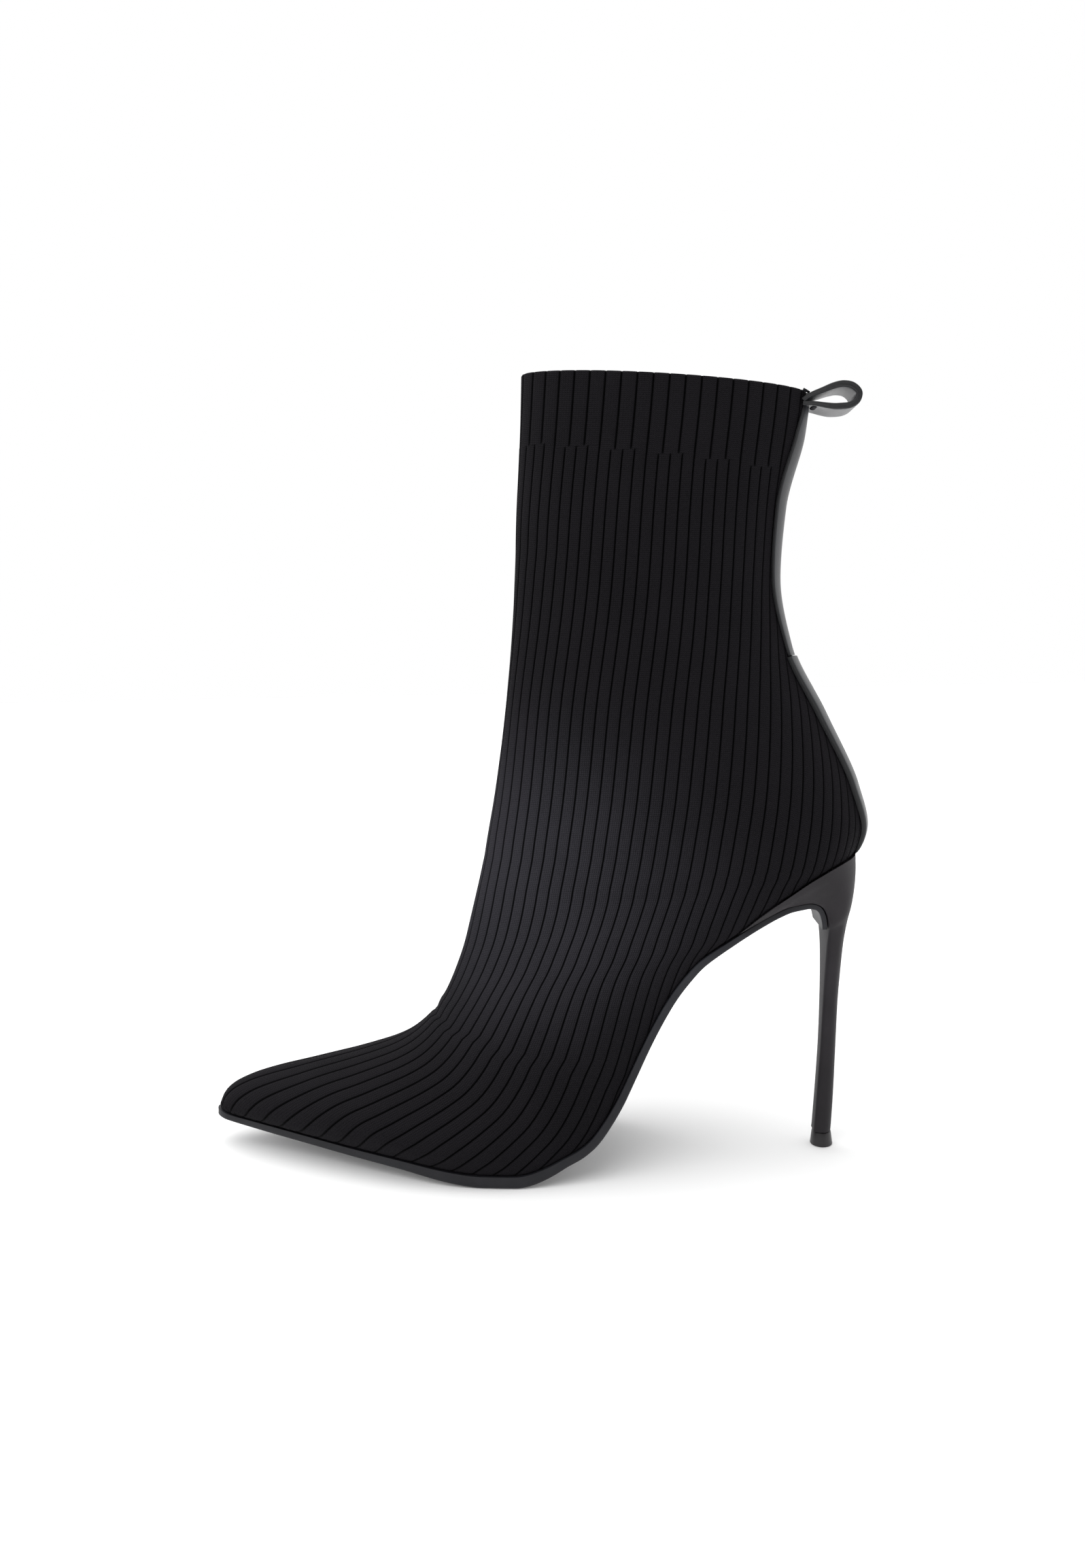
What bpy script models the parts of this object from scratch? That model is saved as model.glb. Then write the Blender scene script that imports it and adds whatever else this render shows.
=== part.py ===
"""A left ankle boot with a ribbed knit sock upper on a stiletto heel, empty and standing on a floor.

The toe points along -X, the boot's right side is +Y, and up is +Z. The origin is on the floor at the
middle of the heel tip. Lengths are in metres. The upper is lofted through sections that fan out from the
collar, round the instep bend and on to the toe. Sole, insole, heel and back strips take their shape from
the same lines, so what meets the upper moves with it.
"""

import math

import bmesh
import bpy
import numpy as np
from mathutils import Vector

# Main sizes
LAST_LENGTH = 0.2263       # heel seat's back end to the toe tip, along the floor
SEAT_BACK = 0.0098         # heel tip's middle to the heel seat's back end
HEEL_HEIGHT = 0.105        # floor to the back edge of the heel seat
SHAFT_HEIGHT = 0.153       # heel seat to the collar, at the back
TOE_SPRING = 0.0085        # lift of the sole at the toe tip
BALL_WIDTH = 0.078         # upper at the ball
SOLE_WIDTH = 0.0735        # sole at the ball
CURVE_OFFSET = 0.004       # sideways curve of the last, for a left foot

# Walls and thicknesses
UPPER_WALL = 0.0016
SOLE_THICKNESS = 0.0042    # at the ball, where it is thickest
INSOLE_THICKNESS = 0.0018
LEG_STRIP_THICKNESS = 0.0011
COUNTER_STRIP_THICKNESS = 0.0017
LOOP_THICKNESS = 0.0021
GAP = 0.0003               # between pieces that touch
SOLE_MARGIN = 0.0009       # sole edge beyond the upper's lower edge
CUP_MARGIN = 0.0010        # heel cup's edge beyond the upper's lower edge
SEAT_CLEARANCE = 0.00045   # heel's top below the seat, at its wing's end

# Trim
LEG_STRIP_WIDTH = 0.0145
COUNTER_STRIP_WIDTH = 0.0185
LOOP_WIDTH = 0.0145
LOOP_REACH = 0.0142        # how far the pull loop stands out of the back strip
LOOP_RISE = 0.0071         # height of the loop between the middles of its two arms, at their widest
LOOP_DROP = 0.0014         # loop's upper end below the collar
TIP_HEIGHT = 0.005
TIP_DEPTH = 0.0078
TIP_WIDTH = 0.0086

# How finely the forms are cut
SIDE_STEPS = 18            # faces from the front line of the upper to its lower edge
ROW_STEPS = 2              # sections between two rows of the tables
STRIP_STEPS = 6            # faces across a strip
STRIP_ROW_STEPS = 4        # faces along a strip for each row of the upper's tables
LOOP_STEPS = 36
HEEL_SIDE_STEPS = 11

# Every table place is a share: "along" runs from the seat's back end, 0, to the toe tip, 1. "level" is 0
# at the top of the sole at the ball, 1 at the heel seat's back edge and 2 at the collar's back edge.

# The line where the upper meets the sole. "lift" is a share of the toe spring, "thick" of the sole's
# thickness, "half" of the sole's half width and "bend" of the last's sideways curve.
SEAT_LINE = [
    # along  level  lift   thick  half  bend
    (0.000, 1.000, 0.000, 0.50, 0.640, 0.00),
    (0.026, 0.986, 0.000, 0.50, 0.640, 0.00),
    (0.071, 0.945, 0.000, 0.50, 0.640, 0.00),
    (0.112, 0.889, 0.000, 0.50, 0.636, -0.10),
    (0.151, 0.827, 0.000, 0.52, 0.620, -0.20),
    (0.179, 0.775, 0.000, 0.54, 0.600, -0.30),
    (0.238, 0.680, 0.000, 0.58, 0.575, -0.50),
    (0.281, 0.569, 0.000, 0.60, 0.580, -0.65),
    (0.322, 0.411, 0.000, 0.60, 0.625, -0.75),
    (0.364, 0.222, 0.000, 0.64, 0.705, -0.75),
    (0.384, 0.152, 0.000, 0.67, 0.750, -0.72),
    (0.403, 0.100, 0.000, 0.70, 0.795, -0.68),
    (0.422, 0.070, 0.000, 0.74, 0.838, -0.62),
    (0.442, 0.050, 0.000, 0.76, 0.880, -0.55),
    (0.461, 0.030, 0.000, 0.84, 0.915, -0.48),
    (0.479, 0.015, 0.000, 0.93, 0.945, -0.40),
    (0.495, 0.005, 0.000, 0.98, 0.970, -0.32),
    (0.512, 0.000, 0.000, 1.00, 0.986, -0.24),
    (0.562, 0.000, 0.000, 1.00, 0.998, -0.04),
    (0.600, 0.000, 0.075, 0.96, 0.986, 0.12),
    (0.634, 0.000, 0.165, 0.88, 0.950, 0.25),
    (0.678, 0.000, 0.285, 0.78, 0.875, 0.42),
    (0.766, 0.000, 0.430, 0.70, 0.680, 0.70),
    (0.846, 0.000, 0.575, 0.66, 0.478, 0.88),
    (0.908, 0.000, 0.700, 0.64, 0.320, 0.96),
    (0.960, 0.000, 0.815, 0.58, 0.190, 1.00),
    (1.000, 0.000, 1.000, 0.52, 0.118, 1.00),
]
SEAT_ROUNDING = 0.117      # share of the last's length over which the seat's outline turns round
TOE_ROUNDING = 0.020       # the same at the toe tip

# Sections of the upper. A section runs from its front or top point to its back or low point. "half" is
# its half width as a share of the ball's, "widest" where along the section that lies, "front" how round
# its front is and "back" how round its back is: 2 is an ellipse, 1 a straight-sided point. "lean" moves
# the ridge inward as a share of the sideways curve.
LEG = [
    # front along, level   back along, level   half  widest front  back  lean
    (0.4858, 2.0580, 0.0702, 2.0000, 0.430, 0.50, 1.80, 1.85, 0.00),
    (0.4908, 1.9150, 0.0788, 1.9080, 0.445, 0.50, 1.80, 1.85, 0.00),
    (0.4980, 1.7650, 0.1060, 1.7580, 0.470, 0.51, 1.80, 1.85, 0.00),
    (0.5036, 1.6080, 0.1140, 1.6080, 0.510, 0.52, 1.80, 1.85, 0.00),
    (0.5114, 1.4640, 0.0960, 1.4580, 0.575, 0.54, 1.80, 1.85, 0.00),
    (0.5240, 1.3070, 0.0480, 1.3070, 0.650, 0.58, 1.80, 1.90, 0.00),
    (0.5405, 1.1500, 0.0010, 1.1540, 0.700, 0.63, 1.80, 1.95, 0.00),
    (0.5575, 1.0200, -0.0140, 1.0620, 0.713, 0.68, 1.80, 2.00, 0.00),
    (0.5700, 0.9055, 0.0000, 1.0000, 0.710, 0.70, 1.80, 2.00, 0.02),
]
# From here on the low point lies on the seat line, whose level and half width it takes.
FOOT = [
    # top along, level   low along   half  widest front  back  lean
    (0.5752, 0.8600, 0.0035, 0.706, 0.715, 1.80, 1.98, 0.05),
    (0.5798, 0.8200, 0.0168, 0.702, 0.735, 1.80, 1.95, 0.08),
    (0.5855, 0.7700, 0.0415, 0.698, 0.765, 1.80, 1.90, 0.12),
    (0.5948, 0.6900, 0.0900, 0.690, 0.780, 1.80, 1.60, 0.20),
    (0.6078, 0.6050, 0.1560, 0.690, 0.750, 1.80, 1.25, 0.30),
    (0.6228, 0.5230, 0.2230, 0.708, 0.715, 1.80, 1.08, 0.40),
    (0.6394, 0.4530, 0.2820, 0.745, 0.690, 1.78, 1.00, 0.50),
    (0.6590, 0.3970, 0.3330, 0.797, 0.675, 1.76, 1.00, 0.60),
    (0.6830, 0.3480, 0.3820, 0.862, 0.680, 1.74, 1.00, 0.70),
    (0.7140, 0.3070, 0.4390, 0.945, 0.700, 1.70, 1.00, 0.80),
    (0.7574, 0.2690, 0.5140, 1.000, 0.730, 1.66, 1.00, 0.90),
    (0.8080, 0.2310, 0.6070, 0.950, 0.750, 1.62, 1.00, 0.96),
    (0.8610, 0.1950, 0.7090, 0.800, 0.760, 1.62, 1.00, 1.00),
    (0.9100, 0.1630, 0.8060, 0.608, 0.760, 1.64, 1.00, 1.00),
    (0.9490, 0.1310, 0.8855, 0.424, 0.750, 1.68, 1.00, 1.00),
    (0.9750, 0.0965, 0.9410, 0.283, 0.740, 1.74, 1.00, 1.00),
    (0.9915, 0.0547, 0.9760, 0.175, 0.720, 1.80, 1.00, 1.00),
    (0.9987, 0.0160, 0.9970, 0.062, 0.700, 1.90, 1.00, 1.00),
]
INNER_END = len(LEG) + len(FOOT) - 3   # row where the hollow ends, behind the toe tip

# The sole's upper face from its end on the heel's breast, round under the heel and forward to where it
# joins the seat. "half" is a share of the sole's half width.
BREAST = [
    # along  level  thick half
    (0.0420, 0.748, 0.40, 0.265),
    (0.0430, 0.768, 0.41, 0.295),
    (0.0466, 0.802, 0.42, 0.330),
    (0.0560, 0.836, 0.43, 0.375),
    (0.0750, 0.851, 0.44, 0.425),
    (0.1030, 0.845, 0.46, 0.475),
    (0.1500, 0.800, 0.48, 0.525),
    (0.1930, 0.744, 0.50, 0.555),
]
BREAST_START = 0.238       # along the seat line, where the sole starts to leave it
BREAST_SPARE = 0.02        # how much wider the heel is than the sole on its breast

# Sections of the heel, each from its breast to its back line. "breast" and "widest" are half widths as
# shares of the sole's.
HEEL_STEM = [
    # front along, level   back along, level   breast widest
    (0.0593, 0.000, 0.0316, 0.000, 0.062, 0.106),
    (0.0545, 0.134, 0.0275, 0.134, 0.062, 0.103),
    (0.0484, 0.328, 0.0235, 0.328, 0.068, 0.111),
    (0.0455, 0.473, 0.0205, 0.478, 0.085, 0.136),
    (0.0438, 0.572, 0.0171, 0.582, 0.112, 0.174),
    (0.0425, 0.668, 0.0132, 0.688, 0.165, 0.240),
]
# From here on each section starts from a row of the sole's line above, and "seat" is how far it has taken
# on the seat's own outline and curve.
HEEL_CUP = [
    # back along, level   widest seat
    (0.0080, 0.783, 0.330, 0.10),
    (0.0040, 0.832, 0.400, 0.28),
    (0.0005, 0.878, 0.460, 0.48),
    (-0.002, 0.913, 0.510, 0.66),
    (-0.004, 0.943, 0.550, 0.80),
    (-0.005, 0.964, 0.580, 0.90),
    (-0.006, 0.982, 0.600, 0.97),
]
WING_END = 0.180           # along the seat line, where the heel's wing ends
STEM_TOP = 0.7             # level under which the stem leans to stand on the tip

# The back strips, from their upper to their lower end. "row" counts the upper's sections from its collar.
LEG_STRIP = [
    # row  width thickness
    (0.03, 0.36, 0.80),
    (0.50, 0.62, 1.00),
    (1.10, 0.92, 1.00),
    (1.60, 1.00, 1.00),
    (4.07, 0.97, 0.85),
]
COUNTER_STRIP = [
    # row  width thickness
    (4.12, 0.90, 0.85),
    (5.00, 1.00, 1.00),
    (6.40, 1.00, 1.00),
    (7.30, 0.80, 0.85),
    (7.95, 0.42, 0.45),
]

# Middle line of the pull loop, as shares of its reach and of its rise.
LOOP_LINE = [
    # out   up
    (0.04, 0.86),
    (0.10, 0.98),
    (0.25, 1.17),
    (0.45, 1.36),
    (0.62, 1.42),
    (0.78, 1.38),
    (0.92, 1.21),
    (1.00, 0.95),
    (0.97, 0.68),
    (0.86, 0.47),
    (0.70, 0.38),
    (0.50, 0.37),
    (0.32, 0.43),
    (0.16, 0.48),
    (0.04, 0.45),
]
LOOP_SPAN = 1.05           # rise of the line's ring above, from its lowest to its highest point

MATERIALS = {
    # name: colour, roughness, metallic
    "ribbed_knit": ((0.011, 0.011, 0.013), 0.92, 0.0),
    "strip_leather": ((0.016, 0.017, 0.020), 0.42, 0.0),
    "heel_cover": ((0.020, 0.018, 0.020), 0.50, 0.0),
    "sole_rubber": ((0.014, 0.015, 0.018), 0.55, 0.0),
    "tip_plastic": ((0.010, 0.009, 0.010), 0.35, 0.0),
    "insole_lining": ((0.055, 0.045, 0.038), 0.75, 0.0),
}


def smooth_through(places, values, at):
    """A curve through the values that never swings past them: cubic pieces with limited slopes."""
    places, values, at = (np.asarray(a, float) for a in (places, values, at))
    step = np.diff(places)
    slope = np.diff(values) / step
    tangent = np.empty_like(values)
    tangent[0], tangent[-1] = slope[0], slope[-1]
    before, after = slope[:-1], slope[1:]
    weight = step[:-1] + 2 * step[1:], 2 * step[:-1] + step[1:]
    with np.errstate(divide="ignore", invalid="ignore"):
        mean = (weight[0] + weight[1]) / (weight[0] / before + weight[1] / after)
    tangent[1:-1] = np.where(before * after > 0, mean, 0.0)
    i = np.clip(np.searchsorted(places, at, side="right") - 1, 0, len(step) - 1)
    t = np.clip((at - places[i]) / step[i], 0, 1)
    return (
        values[i] * (1 + 2 * t) * (1 - t) ** 2
        + tangent[i] * step[i] * t * (1 - t) ** 2
        + values[i + 1] * t * t * (3 - 2 * t)
        - tangent[i + 1] * step[i] * t * t * (1 - t)
    )


def seat(column, along):
    """A column of the seat line at a share of the last's length."""
    names = ("along", "level", "lift", "thick", "half", "bend")
    rows = np.array(SEAT_LINE)
    return smooth_through(rows[:, 0], rows[:, names.index(column)], along)


def place(along, level):
    """(x, z) of a share along the last and a level."""
    x = SEAT_BACK - LAST_LENGTH * along
    ball_top = SOLE_THICKNESS + GAP
    low, high = np.minimum(level, 1), np.maximum(np.asarray(level) - 1, 0)
    z = ball_top * (1 - low) + HEEL_HEIGHT * low + SHAFT_HEIGHT * high
    return x, z + TOE_SPRING * seat("lift", np.clip(along, 0, 1))


def side_shift(along):
    """How far the last curves sideways, towards the boot's right."""
    return CURVE_OFFSET * seat("bend", np.clip(along, 0, 1))


def seat_half(along, beyond=0.0):
    """Half width of the upper's lower edge, or of an outline that lies beyond it on every side."""
    from_back = 1 - (along * LAST_LENGTH + beyond) / (SEAT_ROUNDING * LAST_LENGTH + beyond)
    from_toe = 1 - ((1 - along) * LAST_LENGTH + beyond) / (TOE_ROUNDING * LAST_LENGTH + beyond)
    turned = np.sqrt(1 - np.clip(from_back, 0, 1) ** 2) * np.sqrt(1 - np.clip(from_toe, 0, 1) ** 2)
    return ((SOLE_WIDTH / 2 - SOLE_MARGIN) * seat("half", along) + beyond) * turned


def even_shares(points, count):
    """Points evenly spaced along a polyline."""
    points = np.asarray(points, float)
    run = np.r_[0, np.cumsum(np.linalg.norm(np.diff(points, axis=0), axis=1))]
    at = np.linspace(0, run[-1], count)
    return np.stack([np.interp(at, run, points[:, k]) for k in range(points.shape[1])], axis=1)


def half_profile(start, widest, end, peak, front, back):
    """(share, half width) from a section's start to its end: it swells to its widest and draws in again."""
    turn = np.linspace(0, math.pi / 2, 40)
    rise_share = peak * (1 - np.cos(turn))
    rise = start + (widest - start) * np.sin(turn) ** (2 / front)
    down = np.sin(turn)[1:]
    fall_share = peak + (1 - peak) * down
    drop = (widest**back * (1 - down**2) + end**back * down**2) ** (1 / back)
    return np.stack([np.r_[rise_share, fall_share], np.r_[rise, drop]], axis=1)


def upper_rows():
    """Every row of the upper's tables in the leg's columns: the low point's level comes from the seat."""
    foot = [(r[0], r[1], r[2], float(seat("level", r[2])), *r[3:]) for r in FOOT]
    return np.array([*LEG, *foot])


def upper_section(row):
    """Points of the upper's outer face at a row, or between rows, from its lower edge on the boot's left,
    over the front or top, to its lower edge on the right. In a closed section both ends coincide."""
    rows = upper_rows()
    values = [smooth_through(np.arange(len(rows)), rows[:, k], row) for k in range(9)]
    top_along, top_level, low_along, low_level, half, peak, front, back, lean = map(float, values)
    open_below = row > len(LEG) - 1
    if open_below:
        low_level = float(seat("level", low_along))
    top = np.array(place(top_along, top_level))
    low = np.array(place(low_along, low_level))
    length = np.linalg.norm(low - top)
    end = float(seat_half(low_along)) if open_below else 0.0
    widest = max(half * BALL_WIDTH / 2, end)
    shape = half_profile(0.0, widest, end, peak, front, back)
    side = even_shares(shape * (length, 1), SIDE_STEPS + 1) / (length, 1)
    right, left = [], []
    for share, width in side:
        x, z = top + (low - top) * share
        middle = CURVE_OFFSET * lean * (1 - share) + float(side_shift(low_along)) * share
        left.append((x, middle - width, z))
        right.append((x, middle + width, z))
    return np.array(left[::-1] + right[1:])


def normals_of(grid, closed_rows):
    """Outward normals of a grid of points. In a closed row the first and last points are one."""
    along = np.gradient(grid, axis=0)
    around = np.gradient(grid, axis=1)
    seam = grid[:closed_rows, 1] - grid[:closed_rows, -2]
    around[:closed_rows, 0] = around[:closed_rows, -1] = seam
    mean = (along[:closed_rows, 0] + along[:closed_rows, -1]) / 2
    along[:closed_rows, 0] = along[:closed_rows, -1] = mean
    normal = np.cross(around, along)
    return normal / np.linalg.norm(normal, axis=2, keepdims=True)


def upper_grid():
    """(rows, points of the outer face, its normals). The lower edge's normals lie flat in the seat, so
    that the wall ends flush on the sole."""
    rows = np.linspace(0, len(LEG) + len(FOOT) - 1, (len(LEG) + len(FOOT) - 1) * ROW_STEPS + 1)
    grid = np.array([upper_section(r) for r in rows])
    closed = int(np.sum(rows <= len(LEG) - 1))
    normal = normals_of(grid, closed)
    # The first open sections fan out from one point, too close together to give normals of their own.
    for k in (0, 1):
        normal[closed + k] = (normal[closed - 1] * (2 - k) + normal[closed + 2] * (1 + k)) / 3
    for end, turn in ((0, -1), (-1, 1)):
        edge = np.gradient(grid[closed - 1 :, end], axis=0)
        up = np.stack([edge[:, 2], 0 * edge[:, 0], -edge[:, 0]], axis=1)
        flat = np.cross(edge, up) * turn
        flat[0, 1] = 0
        normal[closed - 1 :, end] = flat / np.linalg.norm(flat, axis=1, keepdims=True)
    return rows, grid, normal


def new_object(name, mesh, material):
    """Closes a bmesh into a named object with its material."""
    bmesh.ops.remove_doubles(mesh, verts=mesh.verts, dist=1e-6)
    bmesh.ops.dissolve_degenerate(mesh, edges=mesh.edges, dist=1e-6)
    bmesh.ops.triangulate(mesh, faces=[f for f in mesh.faces if len(f.verts) > 3])
    bmesh.ops.recalc_face_normals(mesh, faces=mesh.faces)
    data = bpy.data.meshes.new(name)
    mesh.to_mesh(data)
    mesh.free()
    data.materials.append(material)
    data.shade_smooth()
    data.set_sharp_from_angle(angle=math.radians(40))
    obj = bpy.data.objects.new(name, data)
    bpy.context.scene.collection.objects.link(obj)
    return obj


def add_grid(mesh, grid):
    return [[mesh.verts.new(Vector(p)) for p in row] for row in grid]


def skin(mesh, verts, wrap=False):
    """Faces between neighbouring rows of vertices. With wrap, each row closes on itself."""
    for one, two in zip(verts, verts[1:]):
        count = len(one)
        for j in range(count if wrap else count - 1):
            k = (j + 1) % count
            mesh.faces.new((one[j], one[k], two[k], two[j]))


def loft(name, loops, material):
    """A solid through closed loops of points, with its first and last loops filled."""
    mesh = bmesh.new()
    verts = add_grid(mesh, loops)
    skin(mesh, verts, wrap=True)
    mesh.faces.new(verts[0])
    mesh.faces.new(verts[-1])
    return new_object(name, mesh, material)


def slab(name, outer, inner, material):
    """A sheet with thickness between two grids of points, closed round its edge."""
    mesh = bmesh.new()
    top, under = add_grid(mesh, outer), add_grid(mesh, inner)
    skin(mesh, top)
    skin(mesh, under)
    skin(mesh, [top[0], under[0]])
    skin(mesh, [top[-1], under[-1]])
    skin(mesh, [[row[0] for row in top], [row[0] for row in under]])
    skin(mesh, [[row[-1] for row in top], [row[-1] for row in under]])
    return new_object(name, mesh, material)


def make_upper(material):
    """The knit sock, one wall from collar to toe, open at the collar and all along the sole."""
    rows, grid, normal = upper_grid()
    last_inner = int(np.argmin(np.abs(rows - INNER_END)))
    closed = int(np.sum(rows <= len(LEG) - 1))
    inner = grid[: last_inner + 1] - UPPER_WALL * normal[: last_inner + 1]
    mesh = bmesh.new()
    out, ins = add_grid(mesh, grid), add_grid(mesh, inner)
    skin(mesh, out)
    skin(mesh, ins)
    skin(mesh, [out[0], ins[0]])
    for end in (0, -1):
        edge = slice(closed - 1, last_inner + 1)
        skin(mesh, [[row[end] for row in out[edge]], [row[end] for row in ins[edge]]])
    mesh.faces.new(ins[-1])
    mesh.faces.new(out[-1])
    nose = out[last_inner:]
    mesh.faces.new([r[0] for r in nose] + [r[-1] for r in nose[::-1]] + [ins[-1][-1], ins[-1][0]])
    return new_object("upper", mesh, material)


def line_normals(line):
    """Unit normals of a line of (x, z) points, to its left as it runs."""
    step = np.gradient(line, axis=0)
    step /= np.linalg.norm(step, axis=1, keepdims=True)
    return np.stack([step[:, 1], -step[:, 0]], axis=1)


def breast(row):
    """(along, level, thick, half) of the sole's line at the heel, between rows of its table."""
    table = np.array(BREAST)
    return [smooth_through(np.arange(len(table)), column, row) for column in table.T]


def sole_stations():
    """(top line, thickness, half width, side shift) of the sole, from the heel's breast to the toe."""
    leaving = breast(np.linspace(0, len(BREAST) - 1, (len(BREAST) - 1) * ROW_STEPS + 1))
    knots = np.array([row[0] for row in SEAT_LINE if row[0] >= BREAST_START])
    between = np.concatenate([np.linspace(a, b, ROW_STEPS + 1)[:-1] for a, b in zip(knots, knots[1:])])
    toe = 1 + SOLE_MARGIN / LAST_LENGTH * np.array([-4.0, -1.5, 0.0, 0.55, 0.9, 0.99])
    share = np.r_[between, toe]
    along = np.r_[leaving[0], share]
    thick = SOLE_THICKNESS * np.r_[leaving[2], seat("thick", share)]
    half = np.r_[leaving[3] * SOLE_WIDTH / 2, seat_half(share, SOLE_MARGIN)]
    line = np.stack(place(along, np.r_[leaving[1], seat("level", share)]), axis=1)
    return line - GAP * line_normals(line), thick, half, side_shift(along)


def make_outsole(material):
    """The sole: flat at the ball, up to the toe, up the waist, under the heel and down its breast."""
    line, thick, half, shift = sole_stations()
    loops = []
    for (x, z), (nx, nz), t, h, y in zip(line, line_normals(line), thick, half, shift):
        chamfer = min(0.28 * t, 0.3 * h)
        left = [(-h, 0), (-h, -t + chamfer), (-h + chamfer, -t)]
        across = left + [(-w, d) for w, d in left[::-1]]
        loops.append([(x + nx * d, y + w, z + nz * d) for w, d in across])
    return loft("outsole", loops, material)


def make_insole(material):
    """The sock lining on its board, inside the upper and on top of sole and heel."""
    inset = 1.3 * UPPER_WALL + GAP
    share = inset / LAST_LENGTH + np.r_[0.001, 0.008, 0.025, np.linspace(0.055, 0.925, 26)]
    line = np.stack(place(share, seat("level", share)), axis=1)
    loops = []
    half, shift = seat_half(share, -inset), side_shift(share)
    for (x, z), (nx, nz), h, y in zip(line, line_normals(line), half, shift):
        across = [(-h, 0), (h, 0), (h, INSOLE_THICKNESS), (-h, INSOLE_THICKNESS)]
        loops.append([(x + nx * d, y + w, z + nz * d) for w, d in across])
    return loft("insole", loops, material)


def heel_section(front, back, breast_half, widest, seated):
    """The left and right halves of one section of the heel, from its breast to its back line."""
    shape = half_profile(breast_half, widest, 0.0, 0.5, 2.0, 2.0)
    depth = math.dist(front, back)
    side = even_shares(shape * (depth, 1), HEEL_SIDE_STEPS + 1) / (depth, 1)
    ends = [max((SEAT_BACK - p[0]) / LAST_LENGTH, 0) for p in (front, back)]
    chord = [float(place(a, seat("level", a))[1]) for a in ends]
    widen = breast_half - float(seat_half(ends[0], CUP_MARGIN))
    left, right = [], []
    for share, width in side:
        x, z = np.array(front) * (1 - share) + np.array(back) * share
        along = (SEAT_BACK - x) / LAST_LENGTH
        seat_z = float(place(along, seat("level", max(along, 0)))[1])
        z += seated * (seat_z - chord[0] * (1 - share) - chord[1] * share)
        outline = float(seat_half(along, CUP_MARGIN)) + widen * (1 - share) ** 3
        width += seated * (outline - width)
        y = float(side_shift(along))
        left.append((x, y - width, z))
        right.append((x, y + width, z))
    return left, right


def make_heel(material):
    """The covered stiletto heel, with its cup under the seat and its wing along the waist."""
    rows = [(*row, 0.0) for row in HEEL_STEM]
    for start, (back_along, back_level, widest, seated) in enumerate(HEEL_CUP):
        along, level, _, half = map(float, breast(start))
        rows.append((along, level, back_along, back_level, half + BREAST_SPARE, widest, seated))
    level, half = (float(seat(column, WING_END)) for column in ("level", "half"))
    rows.append((WING_END, level, HEEL_CUP[-1][0], 1.0, half, half, 1.0))
    table = np.array(rows)
    foot = SEAT_BACK - LAST_LENGTH * (table[0, 0] + table[0, 2]) / 2
    sections = []
    for i in np.linspace(0, len(table) - 1, (len(table) - 1) * ROW_STEPS + 1):
        row = [float(smooth_through(np.arange(len(table)), column, i)) for column in table.T]
        start = i - len(HEEL_STEM)
        if 0 <= start <= len(HEEL_CUP) - 1:
            row[:2] = map(float, breast(start)[:2])
        sunk = SEAT_CLEARANCE * max(0, start - len(HEEL_CUP) + 1)
        ends = []
        for along, level in (row[:2], row[2:4]):
            x, z = place(along, level)
            ends.append((x - foot * max(0.0, 1 - level / STEM_TOP), max(z - sunk, TIP_HEIGHT + GAP)))
        widths = row[4] * SOLE_WIDTH / 2, row[5] * SOLE_WIDTH / 2
        sections.append(heel_section(*ends, *widths, row[6]))
    mesh = bmesh.new()
    verts = add_grid(mesh, [left + right[::-1] for left, right in sections])
    skin(mesh, verts, wrap=True)
    for row in (verts[0], verts[-1]):
        skin(mesh, [row[: len(row) // 2], row[: len(row) // 2 - 1 : -1]])
    return new_object("heel", mesh, material)


def make_tip(material):
    """The hard top piece that the heel stands on, flared over its foot."""
    rings = ((0.0, 0.93), (0.14, 1.0), (0.32, 1.0), (1.0, 0.84))
    turn = np.linspace(0, 2 * math.pi, 25)[:-1]
    loops = [
        [(TIP_DEPTH / 2 * s * math.cos(a), TIP_WIDTH / 2 * s * math.sin(a), TIP_HEIGHT * h) for a in turn]
        for h, s in rings
    ]
    return loft("heel_tip", loops, material)


def between_rows(grid, row):
    """A row of points of the upper's outer face between two of its sections."""
    at = row * ROW_STEPS
    low = min(int(at), len(grid) - 2)
    return grid[low] * (1 - at + low) + grid[low + 1] * (at - low)


def make_strip(name, table, width, thickness, material):
    """A leather strip laid on the back line of the upper's outer face, by the rows of its table."""
    _, grid, normal = upper_grid()
    table = np.array(table)
    first, last = table[0, 0], table[-1, 0]
    between = np.arange(math.ceil(first * STRIP_ROW_STEPS), last * STRIP_ROW_STEPS) / STRIP_ROW_STEPS
    rows = np.r_[first, between, last]
    wide, thick = (smooth_through(table[:, 0], table[:, k], rows) for k in (1, 2))
    under, top = [], []
    for row, width_share, thickness_share in zip(rows, wide, thick):
        points, normals = between_rows(grid, row), between_rows(normal, row)
        middle = len(points) // 2
        ring = np.r_[points[middle:-1], points[:middle]]
        ring_normals = np.r_[normals[middle:-1], normals[:middle]]
        run = np.r_[0, np.cumsum(np.linalg.norm(np.diff(ring, axis=0), axis=1))]
        half = width * width_share / 2
        at = run[len(points) - 1 - middle] + np.linspace(-half, half, STRIP_STEPS + 1)
        line = np.stack([np.interp(at, run, ring[:, k]) for k in range(3)], axis=1)
        out = np.stack([np.interp(at, run, ring_normals[:, k]) for k in range(3)], axis=1)
        out /= np.linalg.norm(out, axis=1, keepdims=True)
        under.append(line + GAP * out)
        top.append(line + (GAP + thickness * thickness_share) * out)
    return slab(name, np.array(top), np.array(under), material)


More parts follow.
